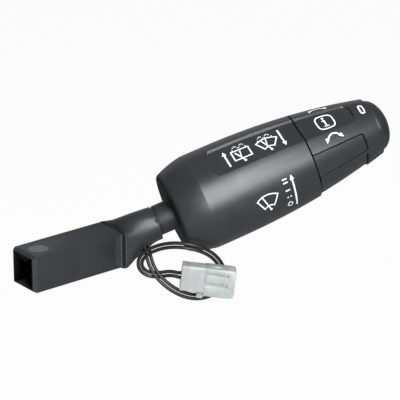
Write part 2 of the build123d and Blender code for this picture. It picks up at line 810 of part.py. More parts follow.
def crimp_terminals():
    """Terminals crimped on the wires."""
    half = terminal_size / 2
    start = (wire_spots[-1] - wire_spots[-2]).length + 0.15
    solids = []
    for height in ways():
        body = block((start, start + terminal_length), (height - half, height + half), (-half, half))
        solids.append(body - block((start + 3.0, start + 4.6), (height - half, height + half), (0, half)))
    return on_connector(Compound(children=solids))


def main():
    """Writes every sub-part to its own file."""
    parts = {
        "socket_arm": socket_arm(),
        "rear_cover": rear_cover(),
        "barrel_shell": barrel_shell(),
        "core_carrier": core_carrier(),
        "carrier_screws": carrier_screws(),
        "circuit_board": circuit_board(),
        "board_screws": board_screws(),
        "coding_resistors": coding_resistors(),
        "link_pins": link_pins(),
        "contact_disc": contact_disc(),
        "solder_tags": solder_tags(),
        "cable_clamp": cable_clamp(),
        "push_switch": push_switch(),
        "switch_stem": switch_stem(),
        "rotary_knob": rotary_knob(),
        "contact_rotor": contact_rotor(),
        "wiper_blades": wiper_blades(),
        "centring_spring": centring_spring(),
        "retaining_clip": retaining_clip(),
        "end_button": end_button(),
        "button_plunger": button_plunger(),
        "button_spring": button_spring(),
        "wire_1": wire(-1),
        "wire_2": wire(1),
        "connector_hood": connector_hood(),
        "connector_housing": connector_housing(),
        "crimp_terminals": crimp_terminals(),
    }
    os.makedirs("parts", exist_ok=True)
    for name, solid in parts.items():
        export_step(solid, f"parts/{name}.step")


main()
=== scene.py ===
"""Looks of the combination stalk switch: finishes, marks, lead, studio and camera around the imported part."""
from collections import namedtuple
import json
import math

import bmesh
import bpy
import numpy as np
from mathutils import Matrix, Vector


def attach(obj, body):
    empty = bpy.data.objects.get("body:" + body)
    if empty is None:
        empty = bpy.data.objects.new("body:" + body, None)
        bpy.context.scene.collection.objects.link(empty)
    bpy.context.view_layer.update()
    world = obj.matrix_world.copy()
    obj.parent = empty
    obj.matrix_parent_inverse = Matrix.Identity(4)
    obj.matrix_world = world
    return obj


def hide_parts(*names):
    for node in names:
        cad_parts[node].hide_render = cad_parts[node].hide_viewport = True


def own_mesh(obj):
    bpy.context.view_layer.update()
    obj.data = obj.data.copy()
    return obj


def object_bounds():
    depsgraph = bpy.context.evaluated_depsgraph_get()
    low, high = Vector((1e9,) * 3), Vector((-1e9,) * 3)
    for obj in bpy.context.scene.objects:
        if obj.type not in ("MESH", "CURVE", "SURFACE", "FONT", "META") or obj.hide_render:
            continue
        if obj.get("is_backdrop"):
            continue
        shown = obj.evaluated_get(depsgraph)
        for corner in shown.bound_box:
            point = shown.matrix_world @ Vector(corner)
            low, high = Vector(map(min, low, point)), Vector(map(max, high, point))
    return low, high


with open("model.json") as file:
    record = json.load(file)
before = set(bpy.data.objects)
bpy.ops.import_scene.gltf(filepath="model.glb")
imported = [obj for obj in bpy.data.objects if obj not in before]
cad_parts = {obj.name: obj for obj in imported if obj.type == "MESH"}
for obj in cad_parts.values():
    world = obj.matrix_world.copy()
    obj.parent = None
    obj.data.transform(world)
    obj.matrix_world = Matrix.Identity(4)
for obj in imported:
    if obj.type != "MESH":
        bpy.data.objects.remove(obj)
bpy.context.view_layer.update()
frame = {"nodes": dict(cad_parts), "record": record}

bl_info = {
    "name": "Combination stalk switch looks",
    "version": (1, 0, 0),
    "blender": (4, 5, 0),
    "location": "3D View > Sidebar > Stalk Switch",
    "description": "Dresses the combination stalk switch with finishes, printed marks, its lead and a studio",
    "category": "Object",
}

MM = 0.001
WHITE = (1.0, 1.0, 1.0)

# Barrel's own frame: its origin is where its axis crosses the arm's, Z runs along it, X up and Y to the front
PITCH = math.radians(18.8)
YAW = math.radians(21.7)
ALONG = Vector((math.cos(PITCH) * math.cos(YAW), -math.cos(PITCH) * math.sin(YAW), math.sin(PITCH)))
UPPER = Vector((-math.sin(PITCH) * math.cos(YAW), math.sin(PITCH) * math.sin(YAW), math.cos(PITCH)))
FRONT = ALONG.cross(UPPER)
CROSSING = Vector((30.0, 0.0, 0.0))
BARREL = Matrix((UPPER, FRONT, ALONG)).transposed().to_4x4()
BARREL.translation = CROSSING

# Outline of the barrel and knob, in millimetres along the axis and out from it
BACK_AT, BACK_RADIUS = 39.2, 16.6
CHAMFER_END, CHAMFER_BULGE, FULL_RADIUS = 51.0, 1.8, 20.0
STRAIGHT_END, TAPER_POWER = 57.0, 2.25
FRONT_AT, KNOB_START = 97.8, 98.2
KNOB_END, KNOB_END_RADIUS = 129.0, 12.05

# Inside of the barrel: wall, rear lip, front wall and the bulkhead with its hole
SHELL_WALL, FRONT_WALL = 2.6, 2.0
REAR_LIP_FROM, REAR_LIP_TO, REAR_LIP_RADIUS = 41.2, 42.6, 14.0
BULKHEAD_FROM, BULKHEAD_TO, BULKHEAD_HOLE = 92.6, 94.8, 12.0

# Inside of the knob: walls, the button's bore, the web and the hub on it
KNOB_WALL, KNOB_REAR_WALL, KNOB_END_WALL = 2.4, 2.0, 0.85
BORE_START = 121.9
WEB_FROM, WEB_TO = 111.0, 113.0
HUB_FROM, HUB_TO, HUB_BORE, HUB_RADIUS = 101.0, 118.3, 8.08, 9.78

# End button: gap around it, its dome and skirt, and the boss inside it
BUTTON_GAP, BUTTON_BASE_GAP = 0.3, 0.1
DOME_HEIGHT, DOME_WALL, SKIRT_FROM = 6.4, 1.5, 124.6
BOSS_FROM, BOSS_RADIUS, BOSS_BORE = 126.0, 3.6, 2.24

# Flats cut into the barrel and knob. Facing, the place where the floor meets the surface, edge, wall and the
# wall's own facing are in degrees from the front towards the top, and start and end are along the axis. The
# finger flats' floors are a share as deep in the middle, plus a pocket.
Flat = namedtuple("Flat", "facing meets_at edge wall wall_facing start end corner")
PANEL = Flat(67.5, 43.5, edge=42.0, wall=86.5, wall_facing=38.0, start=58.5, end=121.6, corner=3.6)
FINGER_FLAT = Flat(0.0, 24.5, edge=22.0, wall=-12.5, wall_facing=50.0, start=90.0, end=121.8, corner=1.2)
FINGER_SHARE, FINGER_POCKET = 0.22, 0.3

# A flat reaches this far to each side of its facing, and runs out a little past its wall
FLAT_REACH, PAST_WALL = 60.0, 1.04

# The knob's lower side, set in between its finger flats, and the narrow grooves inside their edges
GRIP_EDGE, GRIP_END, GRIP_INSET = -17.0, 121.0, 0.8
GROOVE_DEPTH, GROOVE_AT, GROOVE_HALF = 0.42, 0.34, 0.28

# Faces with painted shade, in darker copies of the plastic: past a share of a groove's depth and within the
# knob's skin, or facing back
GROOVE_SHARE, KNOB_SKIN, FACING_BACK = 0.35, 2.2, -0.7

# Lengthwise and crosswise lines of the turned meshes as (start, end, step), closer together where a wall runs
BARREL_ANGLES = ((0.0, 358.6, 1.4), (82.6, 87.2, 0.25), (42.0, 45.0, 0.5))
FINGER_ANGLES = ((-20.0, -16.0, 0.25), (-13.2, -9.0, 0.25), (19.0, 25.0, 0.3))
BARREL_LINES = (
    (BACK_AT + 0.5, CHAMFER_END - 0.08, 0.9), (CHAMFER_END + 0.08, STRAIGHT_END, 0.8), (58.0, 63.4, 0.15),
    (63.4, FRONT_AT - 0.35, 0.9),
)
KNOB_LINES = ((KNOB_START + 0.35, 117.0, 0.8), (117.0, 122.4, 0.15), (122.4, 128.6, 0.7))

# Springs and the button spring's seat, in millimetres
BUTTON_COIL = {"radius": 3.5, "gauge": 0.55, "turns": 5.0, "rise": 13.55, "start": 106.325}
CENTRING_COIL = {"radius": 11.389, "gauge": 1.0, "turns": 3.0, "rise": 3.45, "start": 96.8}

# Arm: ejector spot on its top, end rib on its front, and the mouth's chamfer with how far it is stretched
# The spot and the rib are painted lighter: a painted highlight along the rib, and a painted sheen on the
# spot's wear
SPOT_AT, SPOT_RADIUS, SPOT_FLOOR, SPOT_LEVEL = 7.6, 4.2, 7.4, 7.6
RIB_FROM, RIB_TO, RIB_FRONT, RIB_TOP = 42.2, 43.2, -7.7, 7.3
CHAMFER_FROM, CHAMFER_TO, CHAMFER_STRETCH = 0.5, 1.1, 1.9

# Neck: how far its underside is filled out, as (place along the arm, amount), and where its lowest points are
NECK_FILL = (
    (43.0, 0.0), (43.8, 1.6), (44.6, 2.5), (46.5, 2.9), (48.5, 2.3), (50.0, 1.9), (53.0, 0.8), (56.0, 0.0),
)
NECK_UNDERSIDE = (
    (43.4, -6.0), (44.4, -4.6), (45.4, -3.6), (47.0, -3.2), (50.0, -1.6), (53.0, -0.1), (57.5, 2.3),
)
NECK_REACH = 8.0

# Printed marks: how far the ink starts above the surface, how thick it is, and how its lines are drawn
INK_LIFT, INK_FILM = 0.02, 0.03
STROKE_STEP, STROKE_END, SHARPEST_CORNER = 0.45, 0.18, 0.55
ARROW_WEIGHT = 1.3

# Lead: centre line of the wire pair, thickness and spacings in millimetres, how many of its points run
# straight and then turn, and the ways that the loop and the plug face
WIRE_ROUTE = [
    (71.8, -16.8, 14.1), (67.6, -14.9, 12.2), (63.0, -13.3, 10.9), (58.9, -11.8, 8.8), (54.4, -11.5, 6.2),
    (52.4, -11.8, 2.2), (51.6, -13.8, -2.0), (51.2, -17.3, -7.1), (53.2, -20.9, -11.7),
    (57.5, -24.0, -16.2), (63.2, -26.6, -19.4), (69.4, -28.3, -20.4), (74.4, -30.0, -18.5),
    (76.9, -31.2, -14.1), (76.3, -31.1, -8.2), (71.2, -32.0, -1.7), (64.2, -32.4, 3.2), (58.8, -29.8, 5.2),
    (55.1, -24.7, 4.9), (51.9, -19.8, 3.0), (49.1, -15.9, 0.2), (47.4, -13.8, -3.3), (47.8, -13.7, -7.2),
    (50.7, -15.2, -10.1), (54.3, -17.9, -10.2), (57.1, -21.5, -9.0), (59.3, -25.6, -9.3),
    (62.9, -28.5, -9.8),
]
WIRE_DIAMETER, WIRE_PITCH, WAY_PITCH = 1.45, 1.65, 4.4
STRAIGHT_POINTS, TWIST_POINTS = 2, 3
LOOP_FACING = Vector((-0.585, -0.725, 0.364))
PLUG_FRONT = Vector((-0.62701, -0.77901, 0.0))

# Floor: its reach in metres, and the white that the camera sees of it and how much it covers
FLOOR_REACH, FLOOR_WHITE, FLOOR_SHARE = 6.0, 1.06, 0.9


# ---------------------------------------------------------------- sizes and colours a user would change
class StalkSettings(bpy.types.PropertyGroup):
    """Colours and finish of the stalk switch."""

    plastic: bpy.props.FloatVectorProperty(
        name="Plastic", description="Colour of the moulded stalk parts", subtype="COLOR", size=3,
        default=(0.0235, 0.025, 0.029), min=0.0, max=1.0)
    plastic_roughness: bpy.props.FloatProperty(
        name="Plastic roughness", description="Roughness of the moulded stalk parts",
        default=0.345, min=0.05, max=1.0)
    grain_depth: bpy.props.FloatProperty(
        name="Grain", description="Depth of the moulded grain", subtype="DISTANCE", unit="LENGTH",
        default=0.00003, min=0.0, max=0.0005)
    print_colour: bpy.props.FloatVectorProperty(
        name="Marks", description="Colour of the printed marks", subtype="COLOR", size=3,
        default=(0.86, 0.86, 0.86), min=0.0, max=1.0)
    insulation: bpy.props.FloatVectorProperty(
        name="Insulation", description="Colour of the wires' insulation", subtype="COLOR", size=3,
        default=(0.012, 0.012, 0.013), min=0.0, max=1.0)
    nylon: bpy.props.FloatVectorProperty(
        name="Plug", description="Colour of the lead's plug", subtype="COLOR", size=3,
        default=(0.47, 0.505, 0.495), min=0.0, max=1.0)
    stroke: bpy.props.FloatProperty(
        name="Stroke", description="Width of the printed lines", subtype="DISTANCE", unit="LENGTH",
        default=0.00056, min=0.0002, max=0.002)


class StudioSettings(bpy.types.PropertyGroup):
    """Light and floor around the part."""

    floor_drop: bpy.props.FloatProperty(
        name="Floor drop", description="Distance from the part's lowest point to the floor",
        subtype="DISTANCE", unit="LENGTH", default=0.16, min=0.0, max=1.0)
    key_power: bpy.props.FloatProperty(
        name="Key light", description="Power of the key light", subtype="POWER", unit="POWER",
        default=14.6, min=0.0)
    top_power: bpy.props.FloatProperty(
        name="Top light", description="Power of the light overhead", subtype="POWER", unit="POWER",
        default=3.2, min=0.0)
    knob_power: bpy.props.FloatProperty(
        name="Knob light", description="Power of the light that the knob mirrors",
        subtype="POWER", unit="POWER", default=2.6, min=0.0)
    fill_strength: bpy.props.FloatProperty(
        name="Fill", description="Strength of the surrounding light at the horizon",
        default=0.5, min=0.0, max=5.0)


# ---------------------------------------------------------------- shader helpers
class Value:
    """A node socket that takes part in arithmetic; each operation adds a Math node."""

    def __init__(self, shader, socket):
        self.shader = shader
        self.socket = socket

    def _math(self, operation, left, right):
        return self.shader.add("ShaderNodeMath", {"operation": operation}, {0: left, 1: right})

    def __add__(self, other):
        return self._math("ADD", self, other)

    def __radd__(self, other):
        return self._math("ADD", other, self)

    def __sub__(self, other):
        return self._math("SUBTRACT", self, other)

    def __rsub__(self, other):
        return self._math("SUBTRACT", other, self)

    def __mul__(self, other):
        return self._math("MULTIPLY", self, other)

    def __rmul__(self, other):
        return self._math("MULTIPLY", other, self)


class Shader:
    """The node tree of a material or a world, and the nodes added to it."""

    def __init__(self, owner):
        owner.use_nodes = True
        self.tree = owner.node_tree

    def link(self, target, value):
        """Links a value to a socket, or sets it."""
        if isinstance(value, Value):
            self.tree.links.new(value.socket, target)
        elif target.type == "RGBA" and len(value) == 3:
            target.default_value = (*value, 1.0)
        else:
            target.default_value = value

    def add(self, kind, settings=None, inputs=None, output=0):
        """Adds a node of a type with its settings and inputs, and gives one of its outputs."""
        node = self.tree.nodes.new(kind)
        for name, setting in (settings or {}).items():
            if name == "stops":
                self._stops(node.color_ramp.elements, setting)
            else:
                setattr(node, name, setting)
        for name, value in (inputs or {}).items():
            self.link(node.inputs[name], value)
        return Value(self, node.outputs[output])

    def _stops(self, elements, stops):
        """Sets a ramp's stops, given in rising order as (place, colour or level)."""
        for place, tone in stops[1:-1]:
            elements.new(place)
        for element, (place, tone) in zip(elements, stops):
            element.position = place
            element.color = (*tone, 1.0) if hasattr(tone, "__len__") else (tone, tone, tone, 1.0)

    def place(self):
        """Object coordinates."""
        return self.add("ShaderNodeTexCoord", output="Object")

    def noise(self, size, detail=2.0, roughness=0.5, stretch=None):
        """Noise of a grain size in metres, from 0 to 1."""
        spot = self.place()
        if stretch:
            spot = self.add("ShaderNodeVectorMath", {"operation": "MULTIPLY"}, {0: spot, 1: stretch})
        return self.add("ShaderNodeTexNoise", {}, {
            "Vector": spot, "Scale": 1.0 / size, "Detail": detail, "Roughness": roughness})

    def ramp(self, value, *stops):
        """A value through a ramp of stops."""
        return self.add("ShaderNodeValToRGB", {"stops": stops}, {"Fac": value})

    def vary(self, value, low, high):
        """Noise turned into colours or levels from a low to a high one."""
        return self.ramp(value, (0.3, low), (0.7, high))

    def mix(self, share, low, high):
        """Two colours mixed by a share."""
        return self.add("ShaderNodeMix", {"data_type": "RGBA"}, {0: share, 6: low, 7: high}, output=2)

    def bump(self, height, distance, strength):
        """A bump from a height, in metres."""
        return self.add("ShaderNodeBump", {}, {"Height": height, "Distance": distance, "Strength": strength})

    def cover(self, output, surface, white, share):
        """Ends the tree in a mix of what it has and of plain white, by a share."""
        blend = self.add("ShaderNodeMixShader", {}, {0: share, 1: Value(self, surface.outputs[0]), 2: white})
        self.link(self.tree.nodes[output].inputs["Surface"], blend)


class Finish(Shader):
    """A material for a piece, made on its Principled BSDF."""

    def __init__(self, name):
        self.material = bpy.data.materials.new(name)
        super().__init__(self.material)
        self.surface = self.tree.nodes["Principled BSDF"]

    def fix(self, **sockets):
        """Sets or links the surface's sockets by name, with underscores for spaces. Gives the material."""
        for name, value in sockets.items():
            self.link(self.surface.inputs[name.replace("_", " ")], value)
        return self.material


def shade(colour, factor):
    """A colour made lighter or darker by a factor."""
    return tuple(min(1.0, channel * factor) for channel in colour)


def moulded_plastic(name, colour, roughness, grain, depth, shine):
    """Injection-moulded plastic: fine spark-eroded grain, faint flow marks and slightly polished patches."""
    look = Finish(name)
    flow = look.noise(0.02, detail=3.0, roughness=0.55)
    patches = look.noise(0.006)
    fine = look.noise(grain, detail=3.0, roughness=0.6)
    return look.fix(
        Base_Color=look.vary(flow * 0.6 + patches * 0.4, shade(colour, 0.88), shade(colour, 1.16)),
        Roughness=look.vary(patches * 0.5 + fine * 0.5, roughness - 0.035, roughness + 0.045),
        Specular_IOR_Level=shine, Normal=look.bump(fine, depth, 0.6))


def printed_ink(name, colour):
    """Pad-printed ink with a faint mottle."""
    look = Finish(name)
    mottle = look.noise(0.0004)
    return look.fix(
        Base_Color=look.vary(mottle, shade(colour, 0.94), colour), Roughness=look.vary(mottle, 0.45, 0.55),
        Normal=look.bump(mottle, 0.000005, 0.3))


def insulation(name, colour):
    """Glossy wire insulation with the faint waviness of extrusion."""
    look = Finish(name)
    waves = look.noise(0.0025)
    fine = look.noise(0.0003)
    return look.fix(
        Base_Color=look.vary(waves, shade(colour, 0.8), shade(colour, 1.4)),
        Roughness=look.vary(waves * 0.6 + fine * 0.4, 0.4, 0.54), Normal=look.bump(waves, 0.00004, 0.5))


def natural_nylon(name, colour):
    """Uncoloured nylon, milky and slightly see-through, with softer and clearer patches."""
    look = Finish(name)
    cloud = look.noise(0.004, detail=3.0, roughness=0.6)
    fine = look.noise(0.00035)
    return look.fix(
        Base_Color=look.vary(cloud, shade(colour, 0.9), shade(colour, 1.08)),
        Roughness=look.vary(cloud * 0.7 + fine * 0.3, 0.26, 0.42), Normal=look.bump(fine, 0.00001, 0.4),
        Subsurface_Weight=0.85, Subsurface_Radius=(0.9, 1.0, 0.9), Subsurface_Scale=0.004)


def plated_metal(name, colour, roughness, grain, streaks):
    """Plated or drawn metal with fine streaks and dull patches."""
    look = Finish(name)
    streak = look.noise(grain, detail=3.0, roughness=0.6, stretch=streaks)
    dull = look.noise(0.002)
    return look.fix(
        Base_Color=look.vary(dull, shade(colour, 0.86), shade(colour, 1.08)),
        Roughness=look.vary(streak * 0.6 + dull * 0.4, roughness - 0.06, roughness + 0.08),
        Metallic=1.0, Normal=look.bump(streak, 0.000008, 0.5))


def board_laminate(name, colour):
    """Solder resist over glass laminate: glossy green with copper tracks showing as lighter bands."""
    look = Finish(name)
    weave = look.noise(0.0006)
    cells = look.add("ShaderNodeTexVoronoi", {"feature": "DISTANCE_TO_EDGE"}, {
        "Vector": look.place(), "Scale": 260.0})
    track = 1 - look.ramp(cells, (0.05, 0.0), (0.09, 1.0))
    resist = look.vary(weave, shade(colour, 0.85), shade(colour, 1.1))
    return look.fix(
        Base_Color=look.mix(track, resist, shade(colour, 1.9)), Roughness=look.vary(weave, 0.26, 0.36),
        Normal=look.bump(track + weave * 0.3, 0.00003, 0.5))


FINISHES = {}


def make_finishes():
    """One finish for each material slot of the record, the stalk's other plastics, and the marks' ink."""
    look = bpy.context.scene.stalk_settings
    plastic = tuple(look.plastic)
    rough = look.plastic_roughness
    even = (1.0, 1.0, 1.0)
    # Colour, roughness, size of the grain and shine
    plastics = {
        "stalk_plastic": (plastic, rough, 0.00022, 0.5),
        # Rear cover: a rougher satin plastic, made darker as painted shade
        "satin_plastic": (shade(plastic, 0.85), 0.5, 0.00022, 0.42),
        # Lighter plastic for the end rib's painted highlight and for the ejector spot's wear with its painted
        # sheen
        "worn_plastic": (shade(plastic, 3.3), rough, 0.00022, 0.5),
        # Painted shade in the knob's grooves: darker and rougher plastic
        "groove_plastic": (shade(plastic, 0.5), 0.8, 0.0003, 0.2),
        # Faces looking back along the barrel: matt, and darker as painted shade
        "matt_plastic": (shade(plastic, 0.9), 0.7, 0.0003, 0.35),
        "carrier_plastic": ((0.70, 0.68, 0.62), 0.48, 0.0004, 0.5),
        "component_plastic": ((0.03, 0.03, 0.034), 0.5, 0.0003, 0.5),
        "stem_plastic": ((0.52, 0.05, 0.03), 0.4, 0.0003, 0.5),
    }
    # Colour, roughness, size of the streaks and how they are stretched
    metals = {
        "plated_steel": ((0.62, 0.62, 0.60), 0.34, 0.0003, even),
        "spring_steel": ((0.40, 0.40, 0.41), 0.36, 0.0002, (1.0, 1.0, 4.0)),
        "tinned_brass": ((0.66, 0.62, 0.48), 0.3, 0.0003, even),
    }
    for slot, (colour, roughness, grain, shine) in plastics.items():
        FINISHES[slot] = moulded_plastic(slot + "_finish", colour, roughness, grain, look.grain_depth, shine)
    for slot, values in metals.items():
        FINISHES[slot] = plated_metal(slot + "_finish", *values)
    FINISHES["board_laminate"] = board_laminate("board_laminate_finish", (0.02, 0.13, 0.05))
    FINISHES["wire_insulation"] = insulation("wire_insulation_finish", tuple(look.insulation))
    FINISHES["natural_nylon"] = natural_nylon("natural_nylon_finish", tuple(look.nylon))
    FINISHES["ink"] = printed_ink("ink_finish", tuple(look.print_colour))


# ---------------------------------------------------------------- mesh helpers
def new_object(name, mesh):
    """An object for a finished mesh, linked to the scene."""
    made = bpy.data.objects.new(name, mesh)
    bpy.context.scene.collection.objects.link(made)
    return made


def dress(piece, body, slot, *replaced, ink=False):
    """Gives a finished piece its material, its body and the nodes it stands for."""
    piece.data.materials.clear()
    piece.data.materials.append(FINISHES["ink" if ink else slot])
    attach(piece, body)
    if replaced:
        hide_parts(*replaced)
    return piece


def matt_shaded_back(piece, rest="stalk_plastic"):
    """Gives the faces that look back along the barrel a matt plastic darkened as painted shade, and the others
    another finish.
    """
    piece.data.materials[0] = FINISHES[rest]
    piece.data.materials.append(FINISHES["matt_plastic"])
    for face in piece.data.polygons:
        if face.normal.dot(ALONG) < FACING_BACK:
            face.material_index = 1


def smooth(piece, angle):
    """Smooth faces, with creases sharper than an angle kept."""
    for face in piece.data.polygons:
        face.use_smooth = True
    piece.data.set_sharp_from_angle(angle=math.radians(angle))


def fixed_normals(mesh):
    """Merges doubles and turns all faces outwards."""
    work = bmesh.new()
    work.from_mesh(mesh)
    bmesh.ops.remove_doubles(work, verts=work.verts, dist=1e-7)
    bmesh.ops.recalc_face_normals(work, faces=work.faces)
    work.to_mesh(mesh)
    work.free()


def outer_radius(along):
    """Outer radius of the barrel and knob at a place along the axis."""
    if along <= CHAMFER_END:
        share = (along - BACK_AT) / (CHAMFER_END - BACK_AT)
        return BACK_RADIUS + (FULL_RADIUS - BACK_RADIUS) * share + CHAMFER_BULGE * share * (1.0 - share)
    share = max(0.0, along - STRAIGHT_END) / (KNOB_END - STRAIGHT_END)
    return FULL_RADIUS - (FULL_RADIUS - KNOB_END_RADIUS) * share ** TAPER_POWER


def ease(value):
    """0 below 0, 1 above 1 and a smooth rise between."""
    value = min(1.0, max(0.0, value))
    return value * value * (3.0 - 2.0 * value)


def channel(inside):
    """Shape of a narrow groove at a distance inside an edge, from 0 to 1."""
    return max(0.0, 1.0 - ((inside - GROOVE_AT) / GROOVE_HALF) ** 2)


def flat_depth(along, angle, flat, slope=0.4, share=1.0, pocket=0.0, groove=0.0):
    """How far a flat cuts below the outer radius at a place, with softened edge and ends. A share below 1
    leaves the floor partly crowned, a pocket lowers all of it, and a groove runs along inside its edge."""
    radius = outer_radius(along)
    turn = (angle - flat.facing + 180.0) % 360.0 - 180.0
    if abs(turn) > FLAT_REACH:
        return 0.0
    floor = radius * math.cos(math.radians(flat.facing - flat.meets_at)) / math.cos(math.radians(turn))
    wall_turn = math.radians(angle - flat.wall_facing)
    rise = radius * math.cos(math.radians(flat.wall - flat.wall_facing)) / max(0.2, math.cos(wall_turn))
    depth = radius - max(floor, rise)
    low, high = sorted((flat.edge - flat.facing, PAST_WALL * (flat.wall - flat.facing)))
    across = math.radians(turn - (low + high) / 2) * radius
    half_across = math.radians((high - low) / 2) * radius
    lengthwise = along - (flat.start + flat.end) / 2
    half_length = (flat.end - flat.start) / 2
    past_x = abs(lengthwise) - half_length + flat.corner
    past_y = abs(across) - half_across + flat.corner
    outside = math.hypot(max(past_x, 0.0), max(past_y, 0.0)) + min(max(past_x, past_y), 0.0) - flat.corner
    depth = max(0.0, depth * share + pocket) * ease(-outside / slope)
    return depth + groove * channel(-outside)


def grip_depth(along, angle, groove=GROOVE_DEPTH):
    """How far the knob's lower side is set in between its finger flats, with a groove inside its edge."""
    turn = (angle + 90.0 + 180.0) % 360.0 - 180.0
    side = math.radians(90.0 + GRIP_EDGE - abs(turn)) * outer_radius(along)
    inside = min(side, GRIP_END - along)
    return GRIP_INSET * ease(inside / 0.3 + 0.5) + groove * channel(inside)


def in_shaded_groove(spot):
    """Whether a place on the knob, in metres, lies in one of its grooves, which get painted shade."""
    inner = BARREL.inverted() @ (spot / MM)
    angle = math.degrees(math.atan2(inner.x, inner.y))
    groove = grip_depth(inner.z, angle, 1.0) - grip_depth(inner.z, angle, 0.0)
    for seen in (angle, 180.0 - angle):
        finger = flat_depth(inner.z, seen, FINGER_FLAT, groove=1.0) - flat_depth(inner.z, seen, FINGER_FLAT)
        groove = max(groove, finger)
    return groove > GROOVE_SHARE and math.hypot(inner.x, inner.y) > outer_radius(inner.z) - KNOB_SKIN


def carved_radius(along, angle):
    """Outer radius with the panel, the two finger flats and the grip taken off."""
    depth = flat_depth(along, angle, PANEL)
    if along >= KNOB_START - 0.1:
        for seen in (angle, 180.0 - angle):
            finger = flat_depth(
                along, seen, FINGER_FLAT, share=FINGER_SHARE, pocket=FINGER_POCKET, groove=GROOVE_DEPTH)
            depth = max(depth, finger)
        depth = max(depth, grip_depth(along, angle))
    return outer_radius(along) - depth


def spread(start, end, step):
    """Even values from a start to an end, both included."""
    count = max(1, int(math.ceil((end - start) / step)))
    return [start + (end - start) * index / count for index in range(count + 1)]


def merged(rows, extra=()):
    """Sorted values of rows of (start, end, step) and of extra ones, without near doubles."""
    values = sorted([value for row in rows for value in spread(*row)] + list(extra))
    kept = values[:1]
    for value in values[1:]:
        if value - kept[-1] > 0.02:
            kept.append(value)
    return kept


def finger_angles():
    """Extra angles of the knob's lengthwise lines, at the walls of both its finger flats."""
    close = [value for row in FINGER_ANGLES for value in spread(*row)]
    return [value % 360.0 for value in close] + [180.0 - value for value in close]


def barrel_spot(up, front, along):
    """A place in metres from one in the barrel's own frame."""
    return BARREL @ Vector((up, front, along)) * MM


def barrel_piece(name, vertices, faces):
    """A finished piece from its faces, which are turned outwards."""
    mesh = bpy.data.meshes.new(name)
    mesh.from_pydata(vertices, [], faces)
    fixed_normals(mesh)
    piece = new_object(name, mesh)
    smooth(piece, angle=38.0)
    return piece


def shell(name, outline, angles):
    """A closed shell turned about the barrel's axis. The outline is a closed loop of (radius or None, along),
    and None takes the carved outer radius."""
    vertices = []
    for radius, along in outline:
        for angle in angles:
            reach = carved_radius(along, angle) if radius is None else radius
            turn = math.radians(angle)
            vertices.append(barrel_spot(reach * math.sin(turn), reach * math.cos(turn), along))
    count = len(angles)
    faces = []
    for row in range(len(outline)):
        low = row * count
        high = (row + 1) % len(outline) * count
        for column in range(count):
            beside = (column + 1) % count
            faces.append((low + column, high + column, high + beside, low + beside))
    return barrel_piece(name, vertices, faces)


def lathe(name, outline, count=160):
    """A solid of revolution about the barrel's axis from an outline that starts and ends on the axis."""
    vertices = []
    faces = []
    rings = []
    for radius, along in outline:
        first = len(vertices)
        for step in range(count if radius > 1e-6 else 1):
            turn = 2 * math.pi * step / count
            vertices.append(barrel_spot(radius * math.cos(turn), radius * math.sin(turn), along))
        rings.append(list(range(first, len(vertices))))
    for low, high in zip(rings, rings[1:]):
        for step in range(count):
            beside = (step + 1) % count
            if len(low) == 1:
                faces.append((low[0], high[step], high[beside]))
            elif len(high) == 1:
                faces.append((low[step], high[0], low[beside]))
            else:
                faces.append((low[step], high[step], high[beside], low[beside]))
    return barrel_piece(name, vertices, faces)


def settle(piece, name):
    """Turns a piece's live modifiers into its plain mesh."""
    mesh = bpy.data.meshes.new_from_object(piece.evaluated_get(bpy.context.evaluated_depsgraph_get()))
    piece.modifiers.clear()
    piece.data = mesh
    mesh.name = name
    return mesh


def finished_copy(node, name, edge, angle):
    """A copy of a node's mesh, merged, with its edges sharper than an angle rounded by a width."""
    mesh = frame["nodes"][node].data.copy()
    fixed_normals(mesh)
    work = bmesh.new()
    work.from_mesh(mesh)
    bmesh.ops.dissolve_limit(work, angle_limit=math.radians(0.6), verts=work.verts, edges=work.edges)
    work.to_mesh(mesh)
    work.free()
    piece = new_object(name, mesh)
    bevel = piece.modifiers.new("edges", "BEVEL")
    bevel.width = edge * MM
    bevel.segments = 2
    bevel.limit_method = "ANGLE"
    bevel.angle_limit = math.radians(angle)
    bevel.use_clamp_overlap = True
    bevel.harden_normals = False
    settle(piece, name)
    smooth(piece, angle=30.0)
    return piece


# ---------------------------------------------------------------- grown pieces
class Growth:
    """A Geometry Nodes tree that is built here, run once and turned into a plain mesh."""

    def __init__(self, name):
        self.tree = bpy.data.node_groups.new(name, "GeometryNodeTree")
        self.tree.interface.new_socket("Geometry", in_out="OUTPUT", socket_type="NodeSocketGeometry")
        self.inward = None
        self.identifiers = {}

    def open(self, **kinds):
        """Names the tree's inputs, each with its socket type."""
        for name, kind in kinds.items():
            made = self.tree.interface.new_socket(name, in_out="INPUT", socket_type="NodeSocket" + kind)
            self.identifiers[name] = made.identifier
        self.inward = self.tree.nodes.new("NodeGroupInput")

    def given(self, name):
        """The socket of a named input."""
        return self.inward.outputs[name]

    def add(self, kind, inputs):
        """Adds a node with its inputs, given as links or values, and gives its first output."""
        node = self.tree.nodes.new(kind)
        for name, value in inputs.items():
            if isinstance(value, bpy.types.NodeSocket):
                self.tree.links.new(value, node.inputs[name])
            else:
                node.inputs[name].default_value = value
        return node.outputs[0]

    def grow(self, name, geometry, place, **values):
        """Ends the tree, runs it with its input values and gives the finished piece at a place."""
        real = self.add("GeometryNodeRealizeInstances", {"Geometry": geometry})
        dressed = self.add("GeometryNodeSetMaterial", {"Geometry": real, "Material": self.given("Material")})
        self.tree.links.new(dressed, self.tree.nodes.new("NodeGroupOutput").inputs[0])
        piece = new_object(name, bpy.data.meshes.new(name))
        modifier = piece.modifiers.new("growth", "NODES")
        modifier.node_group = self.tree
        for key, value in values.items():
            modifier[self.identifiers[key]] = value
        piece.update_tag()
        mesh = settle(piece, name)
        mesh.transform(place)
        fixed_normals(mesh)
        smooth(piece, angle=40.0)
        return piece


